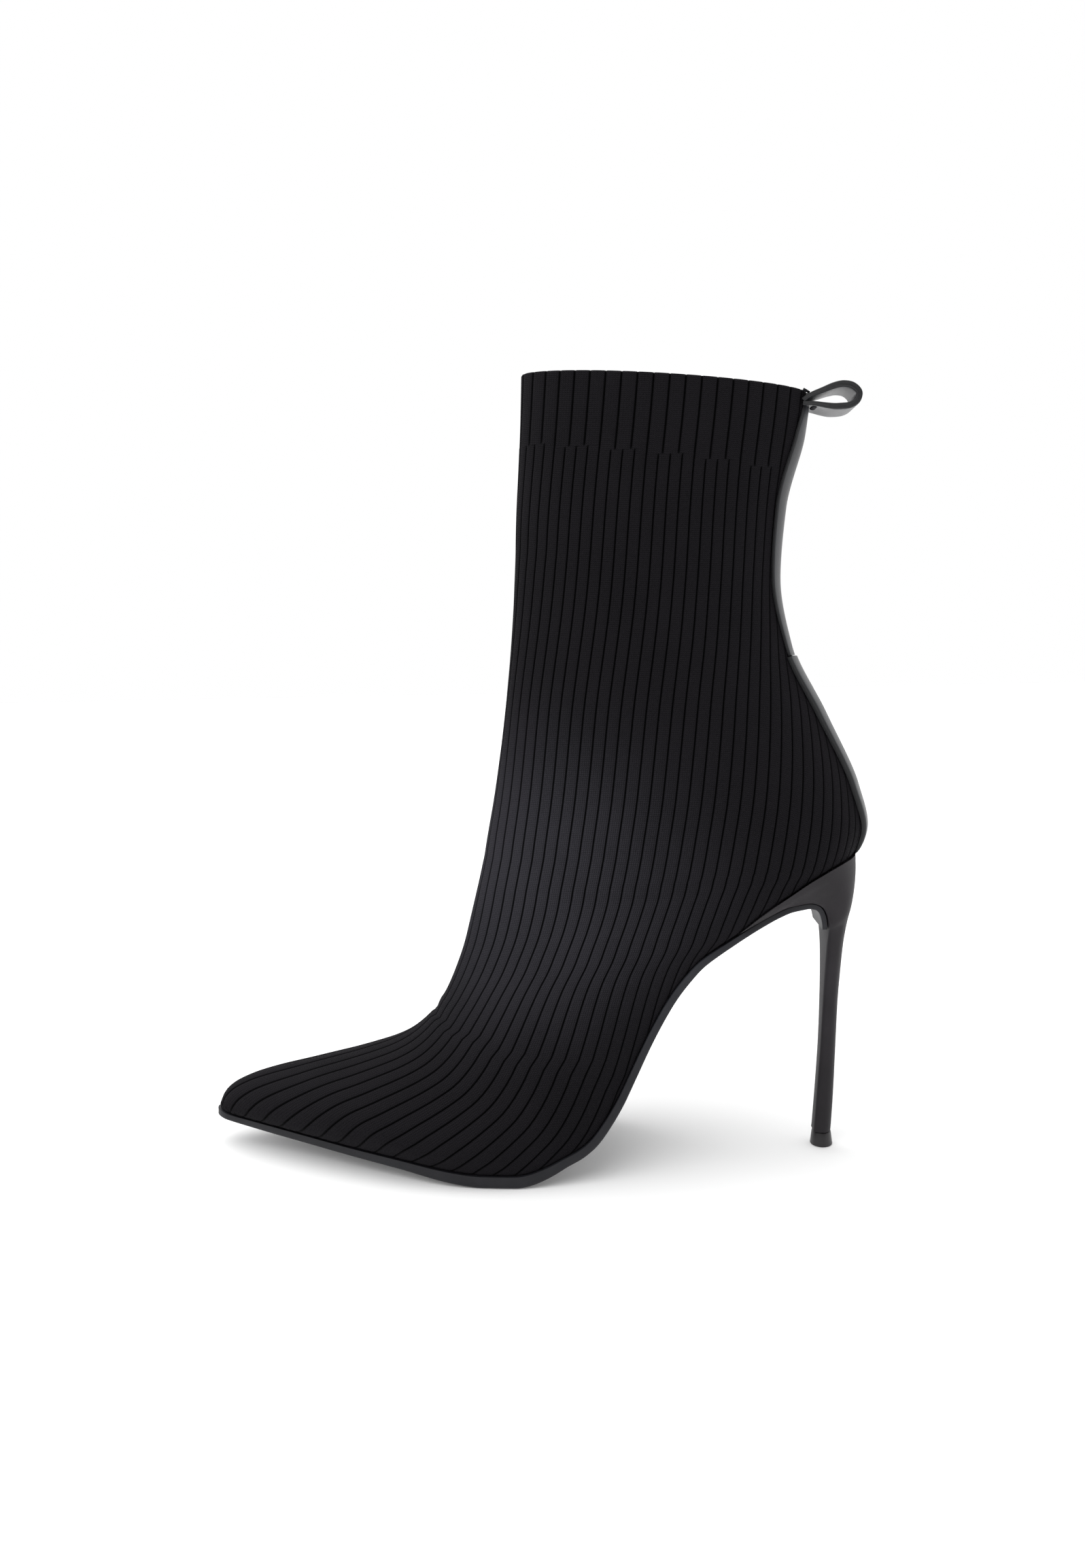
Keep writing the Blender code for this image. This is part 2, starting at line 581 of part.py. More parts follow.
def make_loop(material):
    """The pull loop: a doubled band that leaves the back strip and comes back to it."""
    upper = upper_rows()
    back_x, back_z = place(float(upper[0, 2]), float(upper[0, 3]))
    root = back_x + GAP + LEG_STRIP_THICKNESS + GAP
    index = np.linspace(0, len(LOOP_LINE) - 1, LOOP_STEPS + 1)
    line = np.array(LOOP_LINE)
    out = smooth_through(np.arange(len(line)), line[:, 0], index)
    up = smooth_through(np.arange(len(line)), line[:, 1], index) / LOOP_SPAN
    x = root + LOOP_REACH * out
    z = back_z - LOOP_DROP + LOOP_RISE * (up - 1 / LOOP_SPAN)
    path = np.stack([x, z], axis=1)
    normal = line_normals(path)
    loops = []
    for (px, pz), (nx, nz) in zip(path, normal):
        half, thick = LOOP_WIDTH / 2, LOOP_THICKNESS / 2
        across = [(-half, -thick), (half, -thick), (half, thick), (-half, thick)]
        loops.append([(px + nx * d, w, pz + nz * d) for w, d in across])
    return loft("pull_loop", loops, material)


def new_material(name, colour, roughness, metallic):
    material = bpy.data.materials.new(name)
    material.use_nodes = True
    shader = material.node_tree.nodes["Principled BSDF"]
    shader.inputs["Base Color"].default_value = (*colour, 1)
    shader.inputs["Roughness"].default_value = roughness
    shader.inputs["Metallic"].default_value = metallic
    material.diffuse_color = (*colour, 1)
    return material


def main():
    for obj in list(bpy.data.objects):
        bpy.data.objects.remove(obj)
    finish = {name: new_material(name, *look) for name, look in MATERIALS.items()}
    make_upper(finish["ribbed_knit"])
    make_outsole(finish["sole_rubber"])
    make_insole(finish["insole_lining"])
    make_heel(finish["heel_cover"])
    make_tip(finish["tip_plastic"])
    leather = finish["strip_leather"]
    make_strip("leg_strip", LEG_STRIP, LEG_STRIP_WIDTH, LEG_STRIP_THICKNESS, leather)
    make_strip("counter_strip", COUNTER_STRIP, COUNTER_STRIP_WIDTH, COUNTER_STRIP_THICKNESS, leather)
    make_loop(leather)


main()
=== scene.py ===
# %% [markdown]
# # A ribbed sock boot on a stiletto heel
#
# The real boot is a knitted tube pulled over a last, glued to a thin sole and a covered heel, and closed at
# the back by two leather strips. The solids of its parts come from the frame, at their real size, in
# metres. This file makes the surface that the eye sees: the ribs, the hem, the turned edges, the stitches
# and the finishes. Each cell explains a piece first and then makes it.

# %% Load the frame
import math

import bmesh
import bpy
import numpy as np
from mathutils import Matrix, Vector


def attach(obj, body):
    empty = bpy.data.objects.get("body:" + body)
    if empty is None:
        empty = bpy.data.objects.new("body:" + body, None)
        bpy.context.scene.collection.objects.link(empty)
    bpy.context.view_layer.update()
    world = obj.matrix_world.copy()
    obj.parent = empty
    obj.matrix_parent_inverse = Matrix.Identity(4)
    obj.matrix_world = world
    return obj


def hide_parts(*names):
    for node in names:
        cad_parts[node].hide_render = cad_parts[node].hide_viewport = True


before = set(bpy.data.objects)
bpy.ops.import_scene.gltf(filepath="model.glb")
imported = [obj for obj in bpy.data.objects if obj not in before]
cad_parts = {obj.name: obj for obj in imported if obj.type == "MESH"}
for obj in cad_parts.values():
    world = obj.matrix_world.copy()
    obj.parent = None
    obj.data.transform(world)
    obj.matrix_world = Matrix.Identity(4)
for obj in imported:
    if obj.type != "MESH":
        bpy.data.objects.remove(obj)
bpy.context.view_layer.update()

MM = 0.001
print("solids:", sorted(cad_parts))

# %% [markdown]
# ## The camera
#
# The photograph was taken from the outer side of a left boot, from a little above the ankle, close enough
# that the heel and the toe are seen from slightly different sides. A camera can be turned with a Track To
# constraint, but a plain matrix also holds the small roll of the picture, so its three axes are worked out
# from where it stands and where it looks.

# %% Camera
EYE = Vector((-0.07532, -0.41096, 0.17746))
AIM = Vector((-0.09613, 0.0, 0.12963))
ROLL = math.radians(-1.243)
LONG_SIDE, FOCAL = 2306, 1760      # the picture's height and the camera's focal length, in pixels


def look(eye, aim, roll=0.0):
    """The matrix of a camera or a lamp that stands at a point and looks at another."""
    ahead = (aim - eye).normalized()
    side = ahead.cross(Vector((0, 0, 1))).normalized()
    up = side.cross(ahead)
    right = side * math.cos(roll) + up * math.sin(roll)
    top = up * math.cos(roll) - side * math.sin(roll)
    return Matrix.Translation(eye) @ Matrix((right, top, -ahead)).transposed().to_4x4()


camera = bpy.data.objects.new("camera", bpy.data.cameras.new("camera"))
bpy.context.scene.collection.objects.link(camera)
camera.data.sensor_width = 36
camera.data.lens = camera.data.sensor_width * FOCAL / LONG_SIDE
camera.matrix_world = look(EYE, AIM, ROLL)
bpy.context.scene.camera = camera
print("lens in mm:", round(camera.data.lens, 2))

# %% [markdown]
# ## The shape of the last
#
# A knitted upper has no shape of its own: it takes that of the last inside it. The same sizes and sections as
# in the solid are kept here, because ribs have to run along the last, and a rib's place can't be read off a
# bare solid. A size is written once, and the tables hold shares of these sizes.

# %% Sizes of the last
LAST_LENGTH = 226.3 * MM
SEAT_BACK = 9.8 * MM
HEEL_HEIGHT = 105 * MM
SHAFT_HEIGHT = 153 * MM
TOE_SPRING = 8.5 * MM
BALL_WIDTH = 78 * MM
SOLE_WIDTH = 73.5 * MM
CURVE_OFFSET = 4 * MM
SOLE_THICKNESS = 4.2 * MM
SOLE_MARGIN = 0.9 * MM
UPPER_WALL = 1.6 * MM
GAP = 0.3 * MM
SEAT_ROUNDING = 0.117
TOE_ROUNDING = 0.020

SEAT_LINE = [
    # along  level  lift   thick  half  bend
    (0.000, 1.000, 0.000, 0.50, 0.640, 0.00),
    (0.026, 0.986, 0.000, 0.50, 0.640, 0.00),
    (0.071, 0.945, 0.000, 0.50, 0.640, 0.00),
    (0.112, 0.889, 0.000, 0.50, 0.636, -0.10),
    (0.151, 0.827, 0.000, 0.52, 0.620, -0.20),
    (0.179, 0.775, 0.000, 0.54, 0.600, -0.30),
    (0.238, 0.680, 0.000, 0.58, 0.575, -0.50),
    (0.281, 0.569, 0.000, 0.60, 0.580, -0.65),
    (0.322, 0.411, 0.000, 0.60, 0.625, -0.75),
    (0.364, 0.222, 0.000, 0.64, 0.705, -0.75),
    (0.384, 0.152, 0.000, 0.67, 0.750, -0.72),
    (0.403, 0.100, 0.000, 0.70, 0.795, -0.68),
    (0.422, 0.070, 0.000, 0.74, 0.838, -0.62),
    (0.442, 0.050, 0.000, 0.76, 0.880, -0.55),
    (0.461, 0.030, 0.000, 0.84, 0.915, -0.48),
    (0.479, 0.015, 0.000, 0.93, 0.945, -0.40),
    (0.495, 0.005, 0.000, 0.98, 0.970, -0.32),
    (0.512, 0.000, 0.000, 1.00, 0.986, -0.24),
    (0.562, 0.000, 0.000, 1.00, 0.998, -0.04),
    (0.600, 0.000, 0.075, 0.96, 0.986, 0.12),
    (0.634, 0.000, 0.165, 0.88, 0.950, 0.25),
    (0.678, 0.000, 0.285, 0.78, 0.875, 0.42),
    (0.766, 0.000, 0.430, 0.70, 0.680, 0.70),
    (0.846, 0.000, 0.575, 0.66, 0.478, 0.88),
    (0.908, 0.000, 0.700, 0.64, 0.320, 0.96),
    (0.960, 0.000, 0.815, 0.58, 0.190, 1.00),
    (1.000, 0.000, 1.000, 0.52, 0.118, 1.00),
]

LEG = [
    # front along, level   back along, level   half  widest front  back  lean
    (0.4858, 2.0580, 0.0702, 2.0000, 0.430, 0.50, 1.80, 1.85, 0.00),
    (0.4908, 1.9150, 0.0788, 1.9080, 0.445, 0.50, 1.80, 1.85, 0.00),
    (0.4980, 1.7650, 0.1060, 1.7580, 0.470, 0.51, 1.80, 1.85, 0.00),
    (0.5036, 1.6080, 0.1140, 1.6080, 0.510, 0.52, 1.80, 1.85, 0.00),
    (0.5114, 1.4640, 0.0960, 1.4580, 0.575, 0.54, 1.80, 1.85, 0.00),
    (0.5240, 1.3070, 0.0480, 1.3070, 0.650, 0.58, 1.80, 1.90, 0.00),
    (0.5405, 1.1500, 0.0010, 1.1540, 0.700, 0.63, 1.80, 1.95, 0.00),
    (0.5575, 1.0200, -0.0140, 1.0620, 0.713, 0.68, 1.80, 2.00, 0.00),
    (0.5700, 0.9055, 0.0000, 1.0000, 0.710, 0.70, 1.80, 2.00, 0.02),
]

FOOT = [
    # top along, level   low along   half  widest front  back  lean
    (0.5752, 0.8600, 0.0035, 0.706, 0.715, 1.80, 1.98, 0.05),
    (0.5798, 0.8200, 0.0168, 0.702, 0.735, 1.80, 1.95, 0.08),
    (0.5855, 0.7700, 0.0415, 0.698, 0.765, 1.80, 1.90, 0.12),
    (0.5948, 0.6900, 0.0900, 0.690, 0.780, 1.80, 1.60, 0.20),
    (0.6078, 0.6050, 0.1560, 0.690, 0.750, 1.80, 1.25, 0.30),
    (0.6228, 0.5230, 0.2230, 0.708, 0.715, 1.80, 1.08, 0.40),
    (0.6394, 0.4530, 0.2820, 0.745, 0.690, 1.78, 1.00, 0.50),
    (0.6590, 0.3970, 0.3330, 0.797, 0.675, 1.76, 1.00, 0.60),
    (0.6830, 0.3480, 0.3820, 0.862, 0.680, 1.74, 1.00, 0.70),
    (0.7140, 0.3070, 0.4390, 0.945, 0.700, 1.70, 1.00, 0.80),
    (0.7574, 0.2690, 0.5140, 1.000, 0.730, 1.66, 1.00, 0.90),
    (0.8080, 0.2310, 0.6070, 0.950, 0.750, 1.62, 1.00, 0.96),
    (0.8610, 0.1950, 0.7090, 0.800, 0.760, 1.62, 1.00, 1.00),
    (0.9100, 0.1630, 0.8060, 0.608, 0.760, 1.64, 1.00, 1.00),
    (0.9490, 0.1310, 0.8855, 0.424, 0.750, 1.68, 1.00, 1.00),
    (0.9750, 0.0965, 0.9410, 0.283, 0.740, 1.74, 1.00, 1.00),
    (0.9915, 0.0547, 0.9760, 0.175, 0.720, 1.80, 1.00, 1.00),
    (0.9987, 0.0160, 0.9970, 0.062, 0.700, 1.90, 1.00, 1.00),
]
LEG_END = len(LEG) - 1
LAST_ROW = len(LEG) + len(FOOT) - 1
INNER_END = LAST_ROW - 2
print("sections:", LAST_ROW + 1, "of which", LEG_END + 1, "are closed rings round the leg")

# %% [markdown]
# ## A curve through a table
#
# Between the rows of a table the values have to flow without a kink, and without swinging past a value, or
# the leg would bulge between two sections. A cubic through each pair of rows does this when its slopes are
# the harmonic mean of the slopes beside them.

# %% Curves and places


def smooth_through(places, values, at):
    """A curve through the values that never swings past them."""
    places, values, at = (np.asarray(a, float) for a in (places, values, at))
    step = np.diff(places)
    slope = np.diff(values) / step
    tangent = np.empty_like(values)
    tangent[0], tangent[-1] = slope[0], slope[-1]
    before, after = slope[:-1], slope[1:]
    weight = step[:-1] + 2 * step[1:], 2 * step[:-1] + step[1:]
    with np.errstate(divide="ignore", invalid="ignore"):
        mean = (weight[0] + weight[1]) / (weight[0] / before + weight[1] / after)
    tangent[1:-1] = np.where(before * after > 0, mean, 0.0)
    i = np.clip(np.searchsorted(places, at, side="right") - 1, 0, len(step) - 1)
    t = np.clip((at - places[i]) / step[i], 0, 1)
    return (
        values[i] * (1 + 2 * t) * (1 - t) ** 2
        + tangent[i] * step[i] * t * (1 - t) ** 2
        + values[i + 1] * t * t * (3 - 2 * t)
        - tangent[i + 1] * step[i] * t * t * (1 - t)
    )


def seat(column, along):
    """A column of the seat line at a share of the last's length."""
    names = ("along", "level", "lift", "thick", "half", "bend")
    rows = np.array(SEAT_LINE)
    return smooth_through(rows[:, 0], rows[:, names.index(column)], along)


def place(along, level):
    """(x, z) of a share along the last and a level."""
    x = SEAT_BACK - LAST_LENGTH * along
    ball_top = SOLE_THICKNESS + GAP
    low, high = np.minimum(level, 1), np.maximum(np.asarray(level) - 1, 0)
    z = ball_top * (1 - low) + HEEL_HEIGHT * low + SHAFT_HEIGHT * high
    return x, z + TOE_SPRING * seat("lift", np.clip(along, 0, 1))


def side_shift(along):
    """How far the last curves sideways, towards the boot's right."""
    return CURVE_OFFSET * seat("bend", np.clip(along, 0, 1))


def seat_half(along, beyond=0.0):
    """Half width of the upper's lower edge, or of an outline that lies beyond it on every side."""
    from_back = 1 - (along * LAST_LENGTH + beyond) / (SEAT_ROUNDING * LAST_LENGTH + beyond)
    from_toe = 1 - ((1 - along) * LAST_LENGTH + beyond) / (TOE_ROUNDING * LAST_LENGTH + beyond)
    turned = np.sqrt(1 - np.clip(from_back, 0, 1) ** 2) * np.sqrt(1 - np.clip(from_toe, 0, 1) ** 2)
    return ((SOLE_WIDTH / 2 - SOLE_MARGIN) * seat("half", along) + beyond) * turned


print("heel seat in mm:", [round(float(c) / MM, 1) for c in place(0.0, 1.0)])

# %% [markdown]
# ## A chart of the last
#
# To lay ribs on the last, a point has to be found by two numbers: which section it is on, and how far round
# it lies from the front line. So the sections are worked out once, close together, into a chart of points.
# Any place between them is then read off the chart, with the direction that points straight out of the
# surface. Distances round the last are above 0 on the outer side of the foot, which the camera sees.

# %% Chart
CHART_STEP = 0.05       # sections, between two rows of the tables
CHART_SIDE = 90         # points from the front line to the lower edge
FAN_END = 1.5           # rows after the last closed ring whose directions are read from their neighbours


def half_profile(start, widest, end, peak, front, back):
    """(share, half width) from a section's start to its end: it swells to its widest and draws in again."""
    turn = np.linspace(0, math.pi / 2, 60)
    rise_share = peak * (1 - np.cos(turn))
    rise = start + (widest - start) * np.sin(turn) ** (2 / front)
    down = np.sin(turn)[1:]
    fall_share = peak + (1 - peak) * down
    drop = (widest**back * (1 - down**2) + end**back * down**2) ** (1 / back)
    return np.stack([np.r_[rise_share, fall_share], np.r_[rise, drop]], axis=1)


def section(row):
    """Points round the last at a row: from the boot's right lower edge, over the front, to the left."""
    foot = [(r[0], r[1], r[2], float(seat("level", r[2])), *r[3:]) for r in FOOT]
    rows = np.array([*LEG, *foot])
    values = [smooth_through(np.arange(len(rows)), rows[:, k], row) for k in range(9)]
    top_along, top_level, low_along, low_level, half, peak, front, back, lean = map(float, values)
    open_below = row > LEG_END
    if open_below:
        low_level = float(seat("level", low_along))
    top, low = np.array(place(top_along, top_level)), np.array(place(low_along, low_level))
    length = np.linalg.norm(low - top)
    end = float(seat_half(low_along)) if open_below else 0.0
    shape = half_profile(0.0, max(half * BALL_WIDTH / 2, end), end, peak, front, back) * (length, 1)
    run = np.r_[0, np.cumsum(np.linalg.norm(np.diff(shape, axis=0), axis=1))]
    at = np.linspace(0, run[-1], CHART_SIDE + 1)
    share, width = np.interp(at, run, shape[:, 0]) / length, np.interp(at, run, shape[:, 1])
    x, z = (top[k] + (low[k] - top[k]) * share for k in (0, 1))
    middle = CURVE_OFFSET * lean * (1 - share) + float(side_shift(low_along)) * share
    right, left = (np.stack([x, middle + side * width, z], axis=1) for side in (1, -1))
    return np.concatenate([right[::-1], left[1:]])


print("points on a section:", len(section(0.0)))

# %% [markdown]
# The directions out of the surface come from its two slopes: down the leg and round it. Behind the ankle the
# closed rings round the leg give way to sections that are open on the sole, and the slopes jump there, so the
# directions of the first rows after the last ring are blended from those on both sides.

# %% Fill the chart
chart_rows = np.arange(0, LAST_ROW + CHART_STEP / 2, CHART_STEP)
chart = np.array([section(min(r, LAST_ROW)) for r in chart_rows])
closed = int(round(LEG_END / CHART_STEP)) + 1
down_leg, around = np.gradient(chart, axis=0), np.gradient(chart, axis=1)
around[:closed, 0] = around[:closed, -1] = chart[:closed, 1] - chart[:closed, -2]
down_leg[:closed, 0] = down_leg[:closed, -1] = (down_leg[:closed, 0] + down_leg[:closed, -1]) / 2
outward = np.cross(down_leg, around)
outward /= np.linalg.norm(outward, axis=2, keepdims=True)
fan = int(round(FAN_END / CHART_STEP))
for k in range(fan):
    blend = (k + 1) / (fan + 1)
    outward[closed + k] = outward[closed - 1] * (1 - blend) + outward[closed + fan] * blend
outward /= np.linalg.norm(outward, axis=2, keepdims=True)
run = np.cumsum(np.linalg.norm(np.diff(chart, axis=1), axis=2), axis=1)
reach = np.stack([run[:, CHART_SIDE - 1], run[:, -1] - run[:, CHART_SIDE - 1]], axis=1)
front_run = np.r_[0, np.cumsum(np.linalg.norm(np.diff(chart[:, CHART_SIDE], axis=0), axis=1))]
print("girth at the collar in mm:", round(reach[0].sum() / MM), " front line:", round(front_run[-1] / MM))


def reach_at(row, side):
    """Distance round from the front line to the lower edge, or to the back, on the right 0 or the left 1."""
    return np.interp(row, chart_rows, reach[:, side])


def on_last(row, away):
    """Points of the last and their outward directions, at rows and distances round from the front line."""
    row, away = np.broadcast_arrays(np.asarray(row, float), np.asarray(away, float))
    r = np.clip(row, 0, LAST_ROW) / CHART_STEP
    i = np.minimum(r.astype(int), len(chart) - 2)
    limit = np.where(away < 0, reach_at(row, 0), reach_at(row, 1))
    c = (np.clip(away / limit, -1, 1) + 1) * CHART_SIDE
    j = np.minimum(c.astype(int), 2 * CHART_SIDE - 1)
    f, g = (r - i)[..., None], (c - j)[..., None]
    found = []
    for table in (chart, outward):
        upper = table[i, j] * (1 - g) + table[i, j + 1] * g
        lower = table[i + 1, j] * (1 - g) + table[i + 1, j + 1] * g
        found.append(upper * (1 - f) + lower * f)
    return found[0], found[1] / np.linalg.norm(found[1], axis=-1, keepdims=True)


# %% [markdown]
# ## Where the ribs run
#
# The tube is knitted with ribs that run from the collar to the toe. They keep the distance from the front
# line that the yarn gives them, and spread where the foot stretches them. In the band under the collar
# three wide ribs stand over four narrow ones of the leg, and their shared grooves run through. Places round
# the last are therefore counted in sets: one set is three ribs of the band and four of the leg. The table
# says how far the middle groove lies from the front line and how wide a set is, at some rows. A second
# knitting change crosses the foot in front of the ankle, where each rib steps sideways by a part of its
# width.

# %% Rib places
RIB_TABLE = [
    # row, middle groove in mm, set width in mm
    (0.0, 2.6, 15.42),
    (1.2, 1.9, 15.42),
    (2.0, 1.4, 15.56),
    (3.5, 0.2, 16.00),
    (4.9, -1.4, 16.50),
    (6.4, -0.8, 16.70),
    (9.0, -0.4, 17.00),
    (12.4, 0.1, 17.50),
    (15.8, 0.7, 18.30),
    (18.0, 1.7, 19.80),
    (20.2, 2.8, 22.40),
    (22.0, 5.0, 24.20),
    (26.0, 6.0, 26.00),
]
BAND_RIBS, LEG_RIBS = 3, 4
BREAK_ROW = 1.09        # where the band ends at the front
BREAK_STEP = 0.081      # how much lower it ends at each next set
BREAK_LAST = 6          # the last set that has a step, so that both sides meet at the back
JOG_LINE = [(0, 15.55), (10, 15.6), (30, 15.85), (50, 16.05), (70, 16.15), (95, 16.3)]
JOG_STEP = 1.0 * MM
JOG_LENGTH = 0.12       # rows over which the ribs step sideways


def smooth_step(x):
    """0 below 0, 1 above 1 and a soft rise between."""
    x = np.clip(x, 0, 1)
    return x * x * (3 - 2 * x)


def jog_row(away):
    """The row of the second knitting change at a distance round from the front line."""
    places = np.array(JOG_LINE)
    return np.interp(np.abs(away), places[:, 0] * MM, places[:, 1])


def rib_away(row, sets):
    """Distance round from the front line of a place counted in sets."""
    table = np.array(RIB_TABLE)
    middle, width = (smooth_through(table[:, 0], table[:, k] * MM, row) for k in (1, 2))
    away = middle + width * sets
    return away - JOG_STEP * smooth_step((row - jog_row(away)) / JOG_LENGTH)


def break_row(sets):
    """The row where the band under the collar ends. It steps down a little at each shared groove."""
    whole = np.minimum(np.floor(np.abs(sets)), BREAK_LAST)
    past = np.abs(sets) - whole
    return BREAK_ROW + BREAK_STEP * np.maximum(whole - 1 + smooth_step(past / 0.03), 0)


print("ribs seen on the leg's outer side:", round(reach_at(3.5, 1) / (16 * MM / LEG_RIBS)))

# %% [markdown]
# ## From a flat grid to a piece
#
# Cloth starts flat, so most pieces start as Blender's grid primitive with one vertex for each point that was
# worked out, and each vertex is moved to its point. Vertices that fall together, at a seam or past an edge,
# are then merged. The grid's own UV map takes the rib and the stitch that each vertex belongs to, so that a
# material can follow the knitting.

# %% Helpers for pieces
MERGE_DISTANCE = 1e-6


def alone(piece):
    """Makes a piece the only selected and active one."""
    if bpy.context.object and bpy.context.object.mode != "OBJECT":
        bpy.ops.object.mode_set(mode="OBJECT")
    bpy.ops.object.select_all(action="DESELECT")
    piece.select_set(True)
    bpy.context.view_layer.objects.active = piece


def lay_grid(name, points, ribs=None, stitches=None):
    """A grid primitive laid on rows of points, with its UV map counted in ribs and stitches."""
    rows, columns = points.shape[:2]
    bpy.ops.object.select_all(action="DESELECT")
    bpy.ops.mesh.primitive_grid_add(x_subdivisions=columns - 1, y_subdivisions=rows - 1, size=1)
    piece = bpy.context.object
    piece.name = piece.data.name = name
    piece.data.vertices.foreach_set("co", points.reshape(-1).astype(np.float32))
    layer = piece.data.uv_layers[0]
    layer.name = "knit"
    if ribs is not None:
        corner = np.zeros(len(piece.data.loops), np.int32)
        piece.data.loops.foreach_get("vertex_index", corner)
        uv = np.stack([ribs.reshape(-1)[corner], stitches.reshape(-1)[corner]], axis=1)
        layer.uv.foreach_set("vector", uv.reshape(-1).astype(np.float32))
    merge(piece)
    return piece


def merge(piece, distance=MERGE_DISTANCE):
    """Joins vertices that lie together."""
    alone(piece)
    bpy.ops.object.mode_set(mode="EDIT")
    bpy.ops.mesh.select_all(action="SELECT")
    bpy.ops.mesh.remove_doubles(threshold=distance)
    bpy.ops.mesh.dissolve_degenerate(threshold=distance)
    bpy.ops.object.mode_set(mode="OBJECT")


def join(first, *others):
    """Makes one object of several."""
    alone(first)
    for other in others:
        other.select_set(True)
    bpy.ops.object.join()
    return first


print("vertices closer than", MERGE_DISTANCE / MM, "mm are merged")

# %% [markdown]
# ## Joining open edges
#
# The knit is made in three grids, and their edges have unlike numbers of vertices. Pairing the vertices by
# their direction from the middle goes wrong where the ribs fold sharply. So each ring is walked along its own
# edges, and a strip of triangles is laid between the two, always across the shorter diagonal.

# %% Helpers for open edges


def select_edges(piece, test):
    """Goes into edit mode with the edges selected that pass a test."""
    alone(piece)
    bpy.ops.object.mode_set(mode="EDIT")
    bpy.ops.mesh.select_mode(type="EDGE")
    bpy.ops.mesh.select_all(action="DESELECT")
    shape = bmesh.from_edit_mesh(piece.data)
    for edge in shape.edges:
        edge.select_set(bool(test(edge)))
    bmesh.update_edit_mesh(piece.data)


def open_rings(mesh, low, high):
    """The open edges whose heights lie between two values, as rings of vertices in walking order."""
    left = [e for e in mesh.edges if e.is_boundary and low < (e.verts[0].co.z + e.verts[1].co.z) / 2 < high]
    left = dict.fromkeys(left)
    rings = []
    while left:
        first = next(iter(left))
        del left[first]
        ring = list(first.verts)
        while ahead := [e for e in ring[-1].link_edges if e in left]:
            del left[ahead[0]]
            ring.append(ahead[0].other_vert(ring[-1]))
        area = sum(p.co.x * q.co.y - q.co.x * p.co.y for p, q in zip(ring, ring[1:]))
        rings.append(ring if area > 0 else ring[::-1])
    return sorted(rings, key=len, reverse=True)


def zip_open(piece, low, high):
    """Joins two open rings between two heights, always across the shorter of the next two diagonals."""
    mesh = bmesh.new()
    mesh.from_mesh(piece.data)
    rings = open_rings(mesh, low, high)
    one, two = rings[:2]
    start = min(range(len(two) - 1), key=lambda k: (two[k].co - one[0].co).length)
    two = two[start:-1] + two[:start + 1]
    i = j = 0
    while i < len(one) - 1 or j < len(two) - 1:
        if j == len(two) - 1 or (
            i < len(one) - 1 and (one[i + 1].co - two[j].co).length <= (one[i].co - two[j + 1].co).length
        ):
            corners = one[i], one[i + 1], two[j]
            i += 1
        else:
            corners = one[i], two[j + 1], two[j]
            j += 1
        mesh.faces.new(corners)
    mesh.to_mesh(piece.data)
    mesh.free()
    print("zipped rings of", [len(ring) - 1 for ring in rings], "vertices")


# %% [markdown]
# ## Finishing a piece
#
# Every piece ends in the same way: its modifiers are applied, its faces are turned outwards, its shading is
# made smooth, it gets its material and the body it rides on, and the solids it stands for are hidden.

# %% Helpers to finish a piece


def apply_modifier(piece, kind, **settings):
    """Adds a modifier, sets it and applies it."""
    alone(piece)
    made = piece.modifiers.new(kind.lower(), kind)
    for name, value in settings.items():
        setattr(made, name, value)
    bpy.ops.object.modifier_apply(modifier=made.name)


def finish_piece(piece, material, nodes=(), angle=40):
    """Faces out, smooth shading, its material and its body; the solids it stands for are hidden."""
    alone(piece)
    bpy.ops.object.mode_set(mode="EDIT")
    bpy.ops.mesh.select_all(action="SELECT")
    bpy.ops.mesh.normals_make_consistent(inside=False)
    bpy.ops.object.mode_set(mode="OBJECT")
    bpy.ops.object.shade_smooth_by_angle(angle=math.radians(angle))
    if not piece.data.materials:
        piece.data.materials.append(material)
    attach(piece, "root")
    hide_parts(*nodes)
    faces = sum(len(p.vertices) - 2 for p in piece.data.polygons)
    print(f"{piece.name}: {faces} triangles")
    return piece


# %% [markdown]
# ## Sums for materials
#
# A material is a graph of nodes. Drawn by hand it is a page of wires, but most of them are sums, and a sum is
# easier to read as one. This small class holds an output socket and lets Python's own operators add the Math
# nodes. Every other node comes from its one method.

# %% Wires


